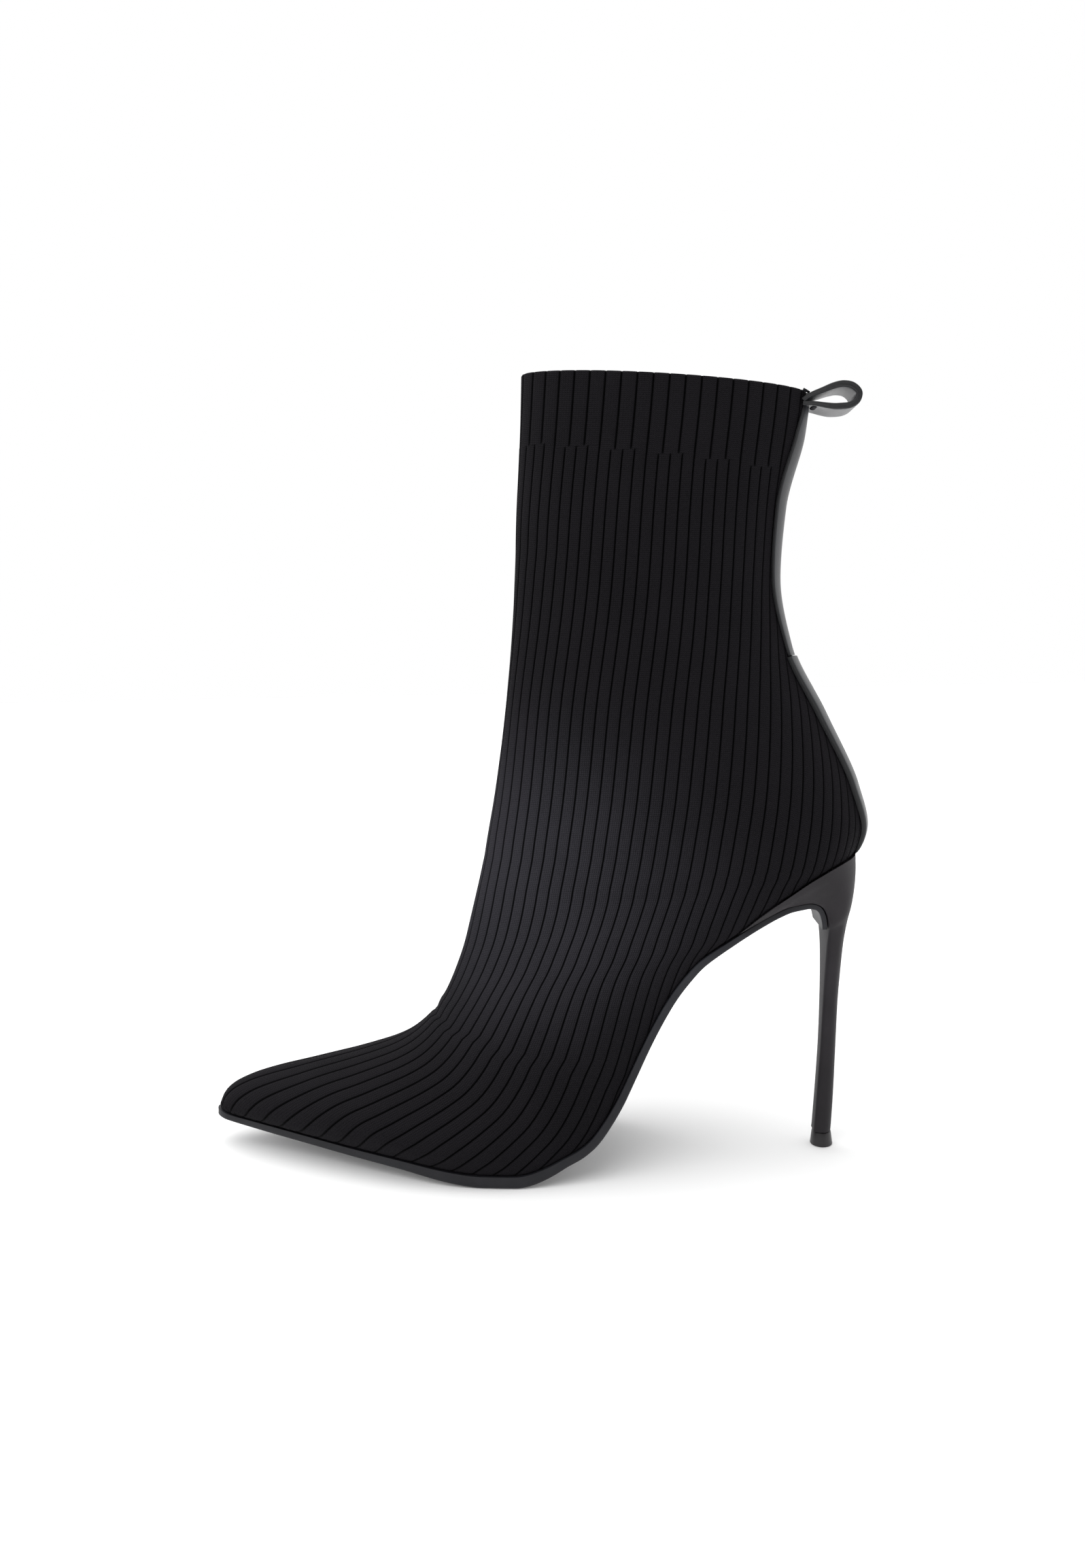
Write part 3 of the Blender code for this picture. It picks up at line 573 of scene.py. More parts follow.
class Wire:
    """An output of a material's nodes, or a bare node tree to start from."""

    def __init__(self, tree, socket=None):
        self.tree, self.socket = tree, socket

    def node(self, kind, settings=None, inputs=None, output=0):
        """Adds a node: first its settings, then its sockets by name or number."""
        made = self.tree.nodes.new("ShaderNode" + kind)
        for name, value in (settings or {}).items():
            setattr(made, name, value)
        for name, value in (inputs or {}).items():
            if isinstance(value, Wire):
                self.tree.links.new(value.socket, made.inputs[name])
            else:
                made.inputs[name].default_value = value
        return Wire(self.tree, made.outputs[output])

    def math(self, operation, *values):
        return self.node("Math", {"operation": operation}, dict(enumerate(values)))

    def __add__(self, other):
        return self.math("ADD", self, other)

    def __sub__(self, other):
        return self.math("SUBTRACT", self, other)

    def __mul__(self, other):
        return self.math("MULTIPLY", self, other)

    def __radd__(self, other):
        return self.math("ADD", other, self)

    def __rsub__(self, other):
        return self.math("SUBTRACT", other, self)

    def __rmul__(self, other):
        return self.math("MULTIPLY", other, self)

    def __abs__(self):
        return self.math("ABSOLUTE", self)

    def part(self):
        """How far the value is past a whole number."""
        return self.math("FRACT", self)

    def wave(self):
        """A sine that rises and falls once for each 1 of the value."""
        return self.math("SINE", self * (2 * math.pi))

    def split(self):
        """The three numbers of a vector."""
        made = self.node("SeparateXYZ", None, {0: self}).socket.node
        return [Wire(self.tree, socket) for socket in made.outputs]

    def rise(self, low, high):
        """0 below a value, 1 above another and a soft rise between."""
        values = {"Value": self, "From Min": low, "From Max": high}
        return self.node("MapRange", {"interpolation_type": "SMOOTHSTEP"}, values)

    def mix(self, first, second):
        """A colour between two, by this value."""
        settings = {"data_type": "RGBA", "clamp_factor": True}
        first, second = (c if isinstance(c, Wire) else (*c, 1) for c in (first, second))
        return self.node("Mix", settings, {0: self, 6: first, 7: second}, output=2)

    def noise(self, where, scale, detail=3.0, roughness=0.5):
        values = {"Vector": where, "Scale": scale, "Detail": detail, "Roughness": roughness}
        return self.node("TexNoise", None, values)


print("a wire can:", [name for name in vars(Wire) if not name.startswith("_")])

# %% [markdown]
# Every material starts from the Principled shader. Values that are the same all over are set on its sockets,
# and the rest are wires. A height goes through a Bump node, in millimetres, to the shader's normal.

# %% Helpers for materials


def new_material(name, **constants):
    """A material, its Principled shader with the values it has all over, and a wire to start from."""
    material = bpy.data.materials.new(name)
    material.use_nodes = True
    shader = material.node_tree.nodes["Principled BSDF"]
    for key, value in constants.items():
        socket = shader.inputs[key.replace("_", " ")]
        socket.default_value = (*value, 1) if isinstance(value, tuple) else value
    return material, shader, Wire(material.node_tree)


def feed(shader, **wires):
    """Links wires to the shader's sockets, and heights through a Bump node to its normal."""
    tree = next(iter(wires.values())).tree
    for key, wire in wires.items():
        if key == "height":
            wire = wire.node("Bump", None, {"Strength": 1.0, "Distance": MM, "Height": wire})
            key = "Normal"
        tree.links.new(wire.socket, shader.inputs[key.replace("_", " ")])


print("a bump height of 1 is", MM, "m")

# %% [markdown]
# ## The knit
#
# Ribbed knit is dull black yarn: broad ribs, each a few stitches wide, with deep narrow grooves between them.
# The ribs themselves are real geometry. The stitches are too small for that, so the bump makes them: in each
# column of a rib the stitches are small slanted beads, one course above the other. The yarn scatters little
# light. A painted highlight lightens the crown of each bead, along with the random paler fuzz of the yarn,
# and painted shade makes the grooves near black. A broad soft mottle keeps the black from looking painted.

# %% Knit material
knit, shader, start = new_material("knit_yarn", Specular_IOR_Level=0.05)
rib, course, _ = start.node("UVMap", {"uv_map": "knit"}).split()
object_place = start.node("TexCoord", None, None, output=3)
in_rib = rib.part()
STITCH_COLUMNS = 6
column = (in_rib * STITCH_COLUMNS).part()
lean = abs(column - 0.5)
bead = (course + lean * 0.9).wave()
wall = (column + 0.25).wave()
fuzz = start.noise(object_place, 2600.0, 2.0)
scallop = course.wave() * 0.012
groove = (abs(in_rib - 0.5) + scallop).rise(0.405, 0.47)
mottle = start.noise(object_place, 38.0, 3.0)
yarn = mottle.rise(0.3, 0.7).mix((0.0052, 0.0048, 0.0058), (0.0074, 0.0067, 0.0081))
# painted highlight on the bead crowns, mixed with the fuzz's own paler fibres
fuzz_and_painted_bead_highlight = (bead * 0.25 + fuzz * 0.9).rise(0.1, 0.9).mix(yarn, (0.0140, 0.0128, 0.0152))
# painted shade: the grooves are coloured near black
yarn_with_painted_groove_shade = groove.mix(fuzz_and_painted_bead_highlight, (0.0012, 0.0011, 0.0014))
stitch_height = (bead * 0.05 - wall * 0.05 + fuzz * 0.12) * (1 - groove)
feed(shader, Base_Color=yarn_with_painted_groove_shade, Roughness=0.70 + fuzz * 0.2, height=stitch_height)
print("material:", knit.name, "with", STITCH_COLUMNS, "stitches in a rib")

# %% [markdown]
# Inside, the knit is backed by a plain black lining that hardly reflects. Only its mouth is seen, so a soft
# noise for the weave is enough.

# %% Lining material
lining, shader, start = new_material("lining", Roughness=0.9, Specular_IOR_Level=0.1)
weave_place = start.node("TexCoord", None, None, output=3)
weave = start.noise(weave_place, 900.0, 2.0)
feed(shader, Base_Color=weave.mix((0.006, 0.006, 0.007), (0.014, 0.013, 0.014)), height=weave * 0.15)
print("material:", lining.name)

# %% [markdown]
# ## The ribbed upper
#
# A rib that is only painted on looks flat at the edge of the shape, where the light grazes it, so each rib
# gets eight columns of vertices: close together in the groove and wide apart on the crown. The columns
# follow the ribs from the collar to the toe. Where a rib reaches the sole or the back seam, the rest of its
# column falls on that edge and is merged away. The band under the collar is a grid of its own, because its
# ribs are wider, and the two are joined where the band ends. A fold at the top and a smooth face inside
# close the wall.

# %% Rib shapes
RIB_PHASES = (0, 0.075, 0.15, 0.28, 0.5, 0.72, 0.85, 0.925)
GROOVE_HALF = 0.15      # half a groove's width, in ribs
RIB_DEPTH = 0.50 * MM
RIB_CROWN = 0.10 * MM
RIB_TOP = 0.12 * MM     # crowns above the solid
COURSE = 0.62 * MM      # height of a stitch
ROW_SPACING = 1.75 * MM
EDGE_FADE = 1.3 * MM
BREAK_FADE = 0.9 * MM
BREAK_SCALE = 22 * MM   # length of a row where the band ends
JOG_DEPTH = 0.22 * MM   # groove where the ribs step sideways
JOG_FROM, JOG_FADE = 12 * MM, 10 * MM       # it starts this far from the front line, over this distance
SETTLE_ROWS = 1.5       # rows over which the leg's rows even out below the stepped band
INSIDE_SPACING, INSIDE_COLUMNS = 4 * MM, 73
BAND_ROWS, HEM_ROWS = 16, 9
CLOSE_BELOW, CLOSE_ABOVE = (0.02, 0.04), (0.97, 0.985)      # more rows on either side of the band's end
HEM_RADIUS = UPPER_WALL / 2
SETS_SIDE = 9


def rib_columns(ribs_in_set):
    """Columns of vertices, in sets, for a knit with so many ribs in a set."""
    steps = np.arange(-SETS_SIDE * ribs_in_set, SETS_SIDE * ribs_in_set)
    return (steps[:, None] + np.array(RIB_PHASES)).reshape(-1) / ribs_in_set


def rib_height(ribs, shared, fade):
    """Height of the knit at a place counted in ribs. Where fade is 0 only the shared grooves stay."""
    to_groove = np.abs(ribs - np.round(ribs))
    shoulder = np.clip(to_groove / GROOVE_HALF, 0, 1)
    depth = RIB_DEPTH * (1 - np.sqrt(1 - (1 - shoulder) ** 2))
    is_shared = np.abs(np.round(ribs) % shared) < 0.5
    depth = depth * np.where(is_shared, 1.0, fade)
    return RIB_TOP - depth - RIB_CROWN * (2 * to_groove - 1) ** 2


print("columns for one rib:", len(RIB_PHASES))

# %% [markdown]
# Creases are listed one by one. The knit bends sharply only over the instep, where it folds in a little under
# the bend, and it sags in a few broad shallow folds round the ankle.

# %% Creases
CREASES = [
    # row at the front, away in mm, row drift, depth in mm, half width in rows, half length in mm
    (15.35, 0, 0.45, 0.55, 0.20, 34),
    (14.75, 0, 0.30, -0.25, 0.22, 30),
    (3.30, 58, 0.00, 0.30, 0.30, 26),
    (3.95, 64, 0.10, -0.20, 0.28, 24),
    (4.70, 78, 0.15, 0.30, 0.30, 24),
    (2.55, 14, 0.00, 0.30, 0.22, 16),
    (5.60, 40, -0.20, 0.25, 0.40, 30),
    (10.5, 70, 0.60, 0.30, 0.60, 30),
]
DRIFT_OVER = 30 * MM    # length over which a crease drifts by its row drift


def crease_height(row, away):
    """Soft troughs and ridges of the knit."""
    total = np.zeros(np.broadcast(row, away).shape)
    for at, where, drift, depth, width, length in CREASES:
        across = (row - at - drift * (np.abs(away) - where * MM) / DRIFT_OVER) / width
        along = (np.abs(away) - where * MM) / (length * MM)
        total = total - depth * MM * np.exp(-(across**2)) * np.exp(-(along**2) * 2)
    return total


print("creases:", len(CREASES))

# %% [markdown]
# The outer face of the knit is the last, raised by the ribs and the creases. Near the sole and the back seam
# the height fades out, so that the edge lies flat on what holds it.

# %% The knit's outer face


def knit_points(row, sets, ribs_in_set):
    """Points of the knit's outer face and their place counted in ribs, at rows and sets."""
    away = rib_away(row, sets)
    limit = np.where(away < 0, reach_at(row, 0), reach_at(row, 1))
    cut = np.clip(away, -reach_at(row, 0), reach_at(row, 1))
    table = np.array(RIB_TABLE)
    width = smooth_through(table[:, 0], table[:, 2] * MM, row)
    sets = sets + (cut - away) / width
    points, normals = on_last(row, cut)
    from_break = np.abs(row - break_row(sets)) * BREAK_SCALE
    height = rib_height(sets * ribs_in_set, ribs_in_set, smooth_step(from_break / BREAK_FADE))
    to_jog = (row - jog_row(cut) - JOG_LENGTH / 2) / (JOG_LENGTH / 2)
    height = height - JOG_DEPTH * np.exp(-(to_jog**2)) * smooth_step((np.abs(cut) - JOG_FROM) / JOG_FADE)
    edge = smooth_step((limit - np.abs(cut)) / EDGE_FADE)
    height = height * edge + crease_height(row, cut) * edge
    return points + normals * height[..., None], normals, sets * ribs_in_set


def rows_along_front(first, last, spacing):
    """Rows between two, evenly spaced along the front line."""
    ends = np.interp((first, last), chart_rows, front_run)
    count = int(round((ends[1] - ends[0]) / spacing)) + 1
    return np.interp(np.linspace(*ends, count), front_run, chart_rows)


def courses(points):
    """How many stitches down each point lies, counted along its own column."""
    step = np.linalg.norm(np.diff(points, axis=0), axis=2)
    return np.concatenate([np.zeros((1, points.shape[1])), np.cumsum(step, axis=0)]) / COURSE


print("rows down the leg and foot:", len(rows_along_front(BREAK_ROW, LAST_ROW, ROW_SPACING)))

# %% [markdown]
# Three grids make the upper: the leg and foot below the band, the band with the fold over its top edge, and
# the smooth inside.

# %% Leg and foot
sets = rib_columns(LEG_RIBS)[None, :]
base = rows_along_front(BREAK_ROW, LAST_ROW, ROW_SPACING)
base = np.sort(np.r_[base, base[0] + np.array(CLOSE_BELOW)])[:, None]
settle = np.clip(1 - (base - BREAK_ROW) / SETTLE_ROWS, 0, 1) ** 2
rows = base + (break_row(sets) - BREAK_ROW) * settle
points, _, ribs = knit_points(rows, sets, LEG_RIBS)
leg = lay_grid("knit_upper", points, ribs, courses(points))
print("leg and foot:", len(leg.data.vertices), "vertices")

# %% [markdown]
# The collar's edge is a fold of the knit, so a half circle of rows is laid over the top of the band, and the
# grooves run on over it.

# %% Band under the collar
sets = rib_columns(BAND_RIBS)[None, :]
top_row = float(np.interp(HEM_RADIUS, front_run, chart_rows))
share = np.sort(np.r_[np.linspace(0, 1, BAND_ROWS), CLOSE_ABOVE])[:, None]
rows = top_row + (break_row(sets) - top_row) * share
points, normals, ribs = knit_points(rows, sets, BAND_RIBS)
up = points[0] - points[1]
up /= np.linalg.norm(up, axis=1, keepdims=True)
turn = np.linspace(math.pi, 0, HEM_ROWS)[:-1, None, None]
hem = points[0] + normals[0] * HEM_RADIUS * (np.cos(turn) - 1) + up * HEM_RADIUS * np.sin(turn)
points = np.concatenate([hem, points])
hem_ribs = np.repeat(ribs[:1], len(hem), axis=0)
band = lay_grid("band", points, np.concatenate([hem_ribs, ribs]), courses(points))
print("band:", len(band.data.vertices), "vertices")

# %% [markdown]
# Inside, the ribs hardly show, so the lining is a coarse grid one wall's thickness inside the last's surface.

# %% Inside of the upper
rows = rows_along_front(top_row, INNER_END, INSIDE_SPACING)[:, None]
around = np.linspace(-1, 1, INSIDE_COLUMNS)[None, :]
limits = np.where(around < 0, reach_at(rows, 0), reach_at(rows, 1))
points, normals = on_last(rows, around * limits)
inside = lay_grid("inside", points - normals * (UPPER_WALL - RIB_TOP))
inside.data.materials.append(lining)
print("inside:", len(inside.data.vertices), "vertices")

# %% [markdown]
# The three grids become one object, and their open edges are joined in pairs: band to leg where the band
# ends, band to inside under the fold, and the outer to the inner lower edge, on the sole. The toe's small
# last arch and the end of the hollow are filled with a face first.

# %% Close the upper
ARCH_REACH = 2.2 * MM   # an open edge this close to the last section belongs to its arch
BREAK_HEIGHTS, COLLAR_HEIGHTS, SOLE_HEIGHTS = (0.215, 0.250), (0.251, 0.300), (0.0, 0.120)


def on_section(edge, line):
    """Whether an open edge lies along a section's line."""
    return edge.is_boundary and all(
        np.min(np.linalg.norm(line - v.co, axis=1)) < ARCH_REACH for v in edge.verts
    )


for piece in (leg, band):
    piece.data.materials.append(knit)
for piece, row in ((leg, LAST_ROW), (inside, INNER_END)):
    arch = section(row)
    select_edges(piece, lambda edge: on_section(edge, arch))
    bpy.ops.mesh.edge_face_add()
    bpy.ops.object.mode_set(mode="OBJECT")
upper = join(leg, band, inside)
for heights in (BREAK_HEIGHTS, COLLAR_HEIGHTS, SOLE_HEIGHTS):
    zip_open(upper, *heights)
finish_piece(upper, knit, ["upper"], angle=70)

# %% [markdown]
# ## Leather
#
# The strips and the pull loop are smooth black leather that mirrors its pale surroundings at a flat angle,
# which is why they look blue-grey beside the knit. Towards their cut edges the colour turns a duller, darker
# black. The heel is covered in a finer leather, stretched tight, so its grain is long along the stem. Each
# leather is a dark base, a cell pattern for the grain and a few slow changes of gloss where it has been
# handled.

# %% Leather materials


def leather(name, base, grain, depth, gloss, stretch=1.0, shine=0.5, edges=False):
    """A black leather: its colour, the grain's cells per metre and depth in mm, its roughness."""
    made, shader, start = new_material(name, Specular_IOR_Level=shine)
    place_here = start.node("TexCoord", None, None, output=3)
    shaped = start.node("VectorMath", {"operation": "MULTIPLY"}, {0: place_here, 1: (1.0, 1.0, 1 / stretch)})
    cells = start.node("TexVoronoi", {"feature": "DISTANCE_TO_EDGE"}, {"Vector": shaped, "Scale": grain})
    soft = start.noise(shaped, grain * 0.7, 3.0)
    cloud = start.noise(place_here, 55.0, 2.0)
    paler = tuple(c * 1.5 for c in base)
    colour = cloud.rise(0.35, 0.7).mix(base, paler)
    rough = gloss + cloud * 0.08 + soft * 0.08
    height = (cells.rise(0.0, 0.16) + soft * 0.4) * depth
    if edges:
        across, _, _ = start.node("UVMap", {"uv_map": "knit"}).split()
        # the colour is darker and rougher towards the cut edges
        near_cut_edge = abs(across).rise(0.955, 0.985)
        colour = near_cut_edge.mix(colour, tuple(c * 0.45 for c in base))
        rough = rough + near_cut_edge * 0.14
    feed(shader, Base_Color=colour, Roughness=rough, height=height)
    return made


strip_leather = leather("strip_calf", (0.0150, 0.0160, 0.0190), 1900.0, 0.018, 0.26, edges=True)
heel_leather = leather("heel_kid", (0.0125, 0.0105, 0.0128), 2600.0, 0.010, 0.52, stretch=2.2, shine=0.28)
lining_leather = leather("lining_leather", (0.055, 0.045, 0.038), 1400.0, 0.020, 0.55)

print("leathers:", [m.name for m in (strip_leather, heel_leather, lining_leather)])

# %% [markdown]
# ## Rubber, plastic and thread
#
# The sole is dull black rubber with a fine pebble and a few scuffs underneath, where it meets the floor. The
# heel's tip is harder and shinier, and the thread is a dark twisted yarn.

# %% Rubber, plastic and thread materials
rubber, shader, start = new_material("black_rubber", Specular_IOR_Level=0.25)
here = start.node("TexCoord", None, None, output=3)
_, _, facing = start.node("NewGeometry", None, None, output=1).split()
under = (0.0 - facing).rise(0.55, 0.8)
pebble = start.node("TexVoronoi", {"feature": "SMOOTH_F1"}, {"Vector": here, "Scale": 1100.0})
haze = start.noise(here, 120.0, 3.0)
scuff = start.noise(here, 420.0, 4.0, 0.7).rise(0.56, 0.72) * under
edge_black = haze.rise(0.3, 0.7).mix((0.0125, 0.0125, 0.0155), (0.0180, 0.0180, 0.0215))
feed(
    shader,
    Base_Color=(scuff * 0.35).mix(edge_black, (0.06, 0.057, 0.055)),
    Roughness=0.40 + haze * 0.15 + under * 0.2,
    height=pebble * under * 0.12 + haze * 0.05,
)

tip_plastic, shader, start = new_material("hard_plastic", Specular_IOR_Level=0.5)
here = start.node("TexCoord", None, None, output=3)
fine = start.noise(here, 900.0, 3.0)
plastic_black = fine.mix((0.010, 0.009, 0.010), (0.017, 0.015, 0.017))
feed(shader, Base_Color=plastic_black, Roughness=0.28 + fine * 0.2, height=fine * 0.05)

thread, shader, start = new_material("black_thread", Roughness=0.6, Specular_IOR_Level=0.25)
here = start.node("TexCoord", None, None, output=3)
ply = start.noise(here, 5200.0, 2.0)
feed(shader, Base_Color=ply.mix((0.003, 0.003, 0.004), (0.016, 0.016, 0.020)), height=ply * 0.08)
print("materials:", [m.name for m in (rubber, tip_plastic, thread)])

# %% [markdown]
# ## The back strips
#
# The tube of knit is closed at the back by two strips of leather, one down the leg and one over the
# counter. A strip could be a grid with a Solidify modifier, but it gets thinner and narrower towards its
# ends, where it has been skived, so its section is drawn as a closed ring instead, rounded at the cut
# edges, and carried along the back line of the last. Towards the collar the leg's strip narrows.

# %% Back strips
LEG_STRIP = {"width": 14.5 * MM, "thickness": 1.1 * MM, "rows": (0.03, 4.14)}
COUNTER_STRIP = {"width": 18.5 * MM, "thickness": 1.7 * MM, "rows": (4.16, 7.95)}
STRIP_TAPER = {
    # row: share of the width, share of the thickness
    "leg_strip": [
        (0.03, 0.36, 0.80),
        (0.50, 0.62, 1.00),
        (1.10, 0.92, 1.00),
        (1.60, 1.00, 1.00),
        (4.14, 0.97, 0.85),
    ],
    "counter_strip": [
        (4.16, 0.90, 0.85),
        (5.00, 1.00, 1.00),
        (6.40, 1.00, 1.00),
        (7.30, 0.80, 0.85),
        (7.95, 0.42, 0.45),
    ],
}
STRIP_SPACING = 1.4 * MM
CUT_ROUNDING = 0.46     # radius at a cut edge, as a share of the strip's thickness
CROWN = 0.04            # how much thicker a strip is in its middle, as a share


def belt_ring(half, thickness, columns=13, corner=5):
    """(across, up) round a strip's section, from its left underside edge, over the top and back below."""
    r = CUT_ROUNDING * thickness
    turn = np.linspace(0, math.pi / 2, corner)
    left = np.stack([-half + r - r * np.cos(turn), thickness - r + r * np.sin(turn)], axis=1)
    top = np.linspace(-half + r, half - r, columns)[1:-1]
    crown = np.stack([top, thickness + CROWN * thickness * (1 - (top / half) ** 2)], axis=1)
    below = np.linspace(half, -half, columns)
    under = np.stack([below, 0 * below], axis=1)
    return np.concatenate([left, crown, left[::-1] * (-1, 1), under, left[:1]])


def back_strip(name, width, thickness, rows):
    """A strip laid on the back line of the last between two rows."""
    at = rows_along_front(*rows, STRIP_SPACING)
    taper = np.array(STRIP_TAPER[name])
    shares = [smooth_through(taper[:, 0], taper[:, k], at) for k in (1, 2)]
    points, across = [], []
    for row, wide, thick in zip(at, *shares):
        ring = belt_ring(width / 2 * wide, thickness * thick)
        right, left = reach_at(row, 0), reach_at(row, 1)
        away = np.where(ring[:, 0] > 0, left - ring[:, 0], -right - ring[:, 0])
        p, n = on_last(row, away)
        points.append(p + n * (GAP + ring[:, 1:]))
        across.append(ring[:, 0] / (width / 2 * wide))
    run = np.repeat((at - rows[0])[:, None], len(across[0]), axis=1)
    piece = lay_grid(f"{name}_leather", np.array(points), np.array(across), run)
    fill_ends(piece)
    return finish_piece(piece, strip_leather, [name], angle=50)


print("points round a strip:", len(belt_ring(LEG_STRIP["width"] / 2, LEG_STRIP["thickness"])))

# %% [markdown]
# A tube of rings is open at both ends. Nothing else on it is open, so the operator that fills holes can be
# given the whole piece: it finds the two rings and fills each with a face.

# %% Fill and make the strips


def fill_ends(piece):
    """Fills the open rings at a tube's ends, each with a face."""
    alone(piece)
    bpy.ops.object.mode_set(mode="EDIT")
    bpy.ops.mesh.select_all(action="SELECT")
    bpy.ops.mesh.fill_holes(sides=0)
    bpy.ops.object.mode_set(mode="OBJECT")


back_strip("leg_strip", **LEG_STRIP)
back_strip("counter_strip", **COUNTER_STRIP)

# %% [markdown]
# ## The pull loop
#
# A band of the same leather, folded double, leaves the top of the strip, turns over and comes back under
# itself. From the side one sees its darker edges, with the groove between the two layers, and the shine of
# its faces. From the side one sees its painted edges, with the groove between the two layers, and the shine
# of its faces. The ring of its section has that groove, and runs along a curve through listed points. Where
# both arms are sewn to the strip they are pressed thinner, gathered narrower and bent round the leg.

# %% Pull loop
LOOP = {"width": 14.5 * MM, "thickness": 2.1 * MM, "reach": 14.2 * MM, "rise": 7.1 * MM, "drop": 1.4 * MM}
LOOP_LINE = [
    # out   up
    (-0.06, 0.76),
    (0.06, 0.98),
    (0.25, 1.17),
    (0.45, 1.36),
    (0.62, 1.42),
    (0.78, 1.38),
    (0.92, 1.21),
    (1.00, 0.95),
    (0.97, 0.68),
    (0.86, 0.47),
    (0.70, 0.38),
    (0.50, 0.37),
    (0.32, 0.45),
    (0.13, 0.57),
    (-0.06, 0.60),
]
LOOP_SPAN = 1.05
PRESSED = 0.62          # thickness of the arms at their ends, as a share
GATHERED = 0.80         # width of the arms at their ends, as a share
WRAP = 3.0 * MM         # how far the arms' ends bend round the back of the leg
OPEN_OVER = 3.5         # points of the line over which an arm opens to its full width
LOOP_RINGS, LOOP_SMOOTHINGS = 113, 6


def loop_ring(half, t):
    """(across, up) round the doubled band: two rolled edges on each side with a groove between them."""
    edge = [(-0.62, 1.0), (-0.30, 0.97), (-0.08, 0.80), (0.0, 0.52), (-0.06, 0.22), (-0.16, 0.0)]
    edge += [(x, -y) for x, y in edge[-2::-1]]
    right = np.array([(half + x * t, y * t) for x, y in edge])
    left = -right
    top = np.linspace(-half + 0.62 * t, half - 0.62 * t, 9)[1:-1]
    over = np.stack([top, np.full(7, t)], axis=1)
    return np.concatenate([over, right, over[::-1] * (1, -1), left, over[:1]])


print("points of the loop's line:", len(LOOP_LINE))

# %% [markdown]
# The line starts at the strip's outer face. It is smoothed by taking the mean with its neighbours a few
# times, its direction gives each ring its tilt, and the rings become a tube.

# %% Lay the pull loop
top_along, top_level = LEG[0][2], LEG[0][3]
back_x, back_z = (float(c) for c in place(top_along, top_level))
root = back_x + 2 * GAP + LEG_STRIP["thickness"]
line = np.array(LOOP_LINE)
knots = np.arange(len(line))
index = np.linspace(0, len(line) - 1, LOOP_RINGS)
out, up = (smooth_through(knots, line[:, k], index) for k in (0, 1))
for _ in range(LOOP_SMOOTHINGS):
    out[1:-1], up[1:-1] = (0.25 * v[:-2] + 0.5 * v[1:-1] + 0.25 * v[2:] for v in (out, up))
x = root + LOOP["reach"] * out
z = back_z - LOOP["drop"] + LOOP["rise"] / LOOP_SPAN * (up - 1)
step = np.stack([np.gradient(x), np.gradient(z)], axis=1)
step /= np.linalg.norm(step, axis=1, keepdims=True)
open_up = smooth_step(np.minimum(index, len(line) - 1 - index) / OPEN_OVER)
points, across = [], []
for px, pz, (sx, sz), share in zip(x, z, step, open_up):
    half = LOOP["width"] / 2 * (GATHERED + (1 - GATHERED) * share)
    ring = loop_ring(half, LOOP["thickness"] / 2 * (PRESSED + (1 - PRESSED) * share))
    wrap = WRAP * (1 - share) * (ring[:, 0] / half) ** 2
    points.append(np.stack([px - sz * ring[:, 1] - wrap, -ring[:, 0], pz + sx * ring[:, 1]], axis=1))
    across.append(ring[:, 0] / half)
run = np.repeat(index[:, None], len(across[0]), axis=1)
pull_loop = lay_grid("loop_band", np.array(points), np.array(across), run)
fill_ends(pull_loop)
finish_piece(pull_loop, strip_leather, ["pull_loop"], angle=50)
loop_low = Vector((x[-1], 0.0, z[-1]))
print("loop from", round(root / MM, 1), "to", round(max(x) / MM, 1), "mm")

# %% [markdown]
# ## A bar of thread
#
# Under the lower arm a short bar of black thread holds the loop to the strip: a few turns of thread side by
# side, and one loose end above, at the corner of the collar. Each turn is a small torus, flattened a little
# and tilted the other way from the last.

# %% Thread bar
THREAD = 0.32 * MM      # the thread's radius
BAR_TURNS = 6
BAR_START, BAR_PITCH = -4.0 * MM, 0.85 * MM
BAR_OUT, BAR_DROP = 1.2 * MM, 0.5 * MM      # out of the loop's lower end, and below it
TURN_RADIUS, TURN_FLATTENED = 0.75 * MM, 0.85
TURN_TILT, TURN_TWIST = 6, 8                # degrees
turns = []
for k in range(BAR_TURNS):
    bpy.ops.object.select_all(action="DESELECT")
    centre = (loop_low.x + BAR_OUT, BAR_START + BAR_PITCH * k, loop_low.z - BAR_DROP)
    bpy.ops.mesh.primitive_torus_add(
        location=centre,
        rotation=(math.radians(90 + TURN_TILT * (-1) ** k), 0, math.radians(TURN_TWIST * (-1) ** k)),
        major_segments=20,
        minor_segments=8,
        major_radius=TURN_RADIUS,
        minor_radius=THREAD,
    )
    turn = bpy.context.object
    bpy.ops.transform.resize(value=(1.0, 1.0, TURN_FLATTENED), center_override=centre)
    bpy.ops.object.transform_apply(location=True, rotation=True, scale=True)
    turns.append(turn)
print("turns of thread:", len(turns))

# %% [markdown]
# The loose end is a Bezier curve of two points with a round bevel, turned into a mesh. Its end caps come out
# as separate faces, so they are merged with the tube.

# %% Loose end
TAIL_THICKER = 1.4
bpy.ops.curve.primitive_bezier_curve_add(location=(0, 0, 0))
tail = bpy.context.object
start_at = Vector((back_x - 0.4 * MM, -3.8 * MM, back_z + 0.1 * MM))
for point, offset in zip(tail.data.splines[0].bezier_points, ((0.7, 0.3, -0.5), (-1.3, -0.4, 0.5))):
    point.co = start_at + Vector(offset) * MM
    point.handle_left_type = point.handle_right_type = "AUTO"
tail.data.bevel_depth = THREAD * TAIL_THICKER
tail.data.bevel_resolution = 2
tail.data.use_fill_caps = True
alone(tail)
bpy.ops.object.convert(target="MESH")
tail = bpy.context.object
merge(tail)
stitches = join(turns[0], *turns[1:], tail)
stitches.name = stitches.data.name = "thread_bar"
finish_piece(stitches, thread, angle=60)

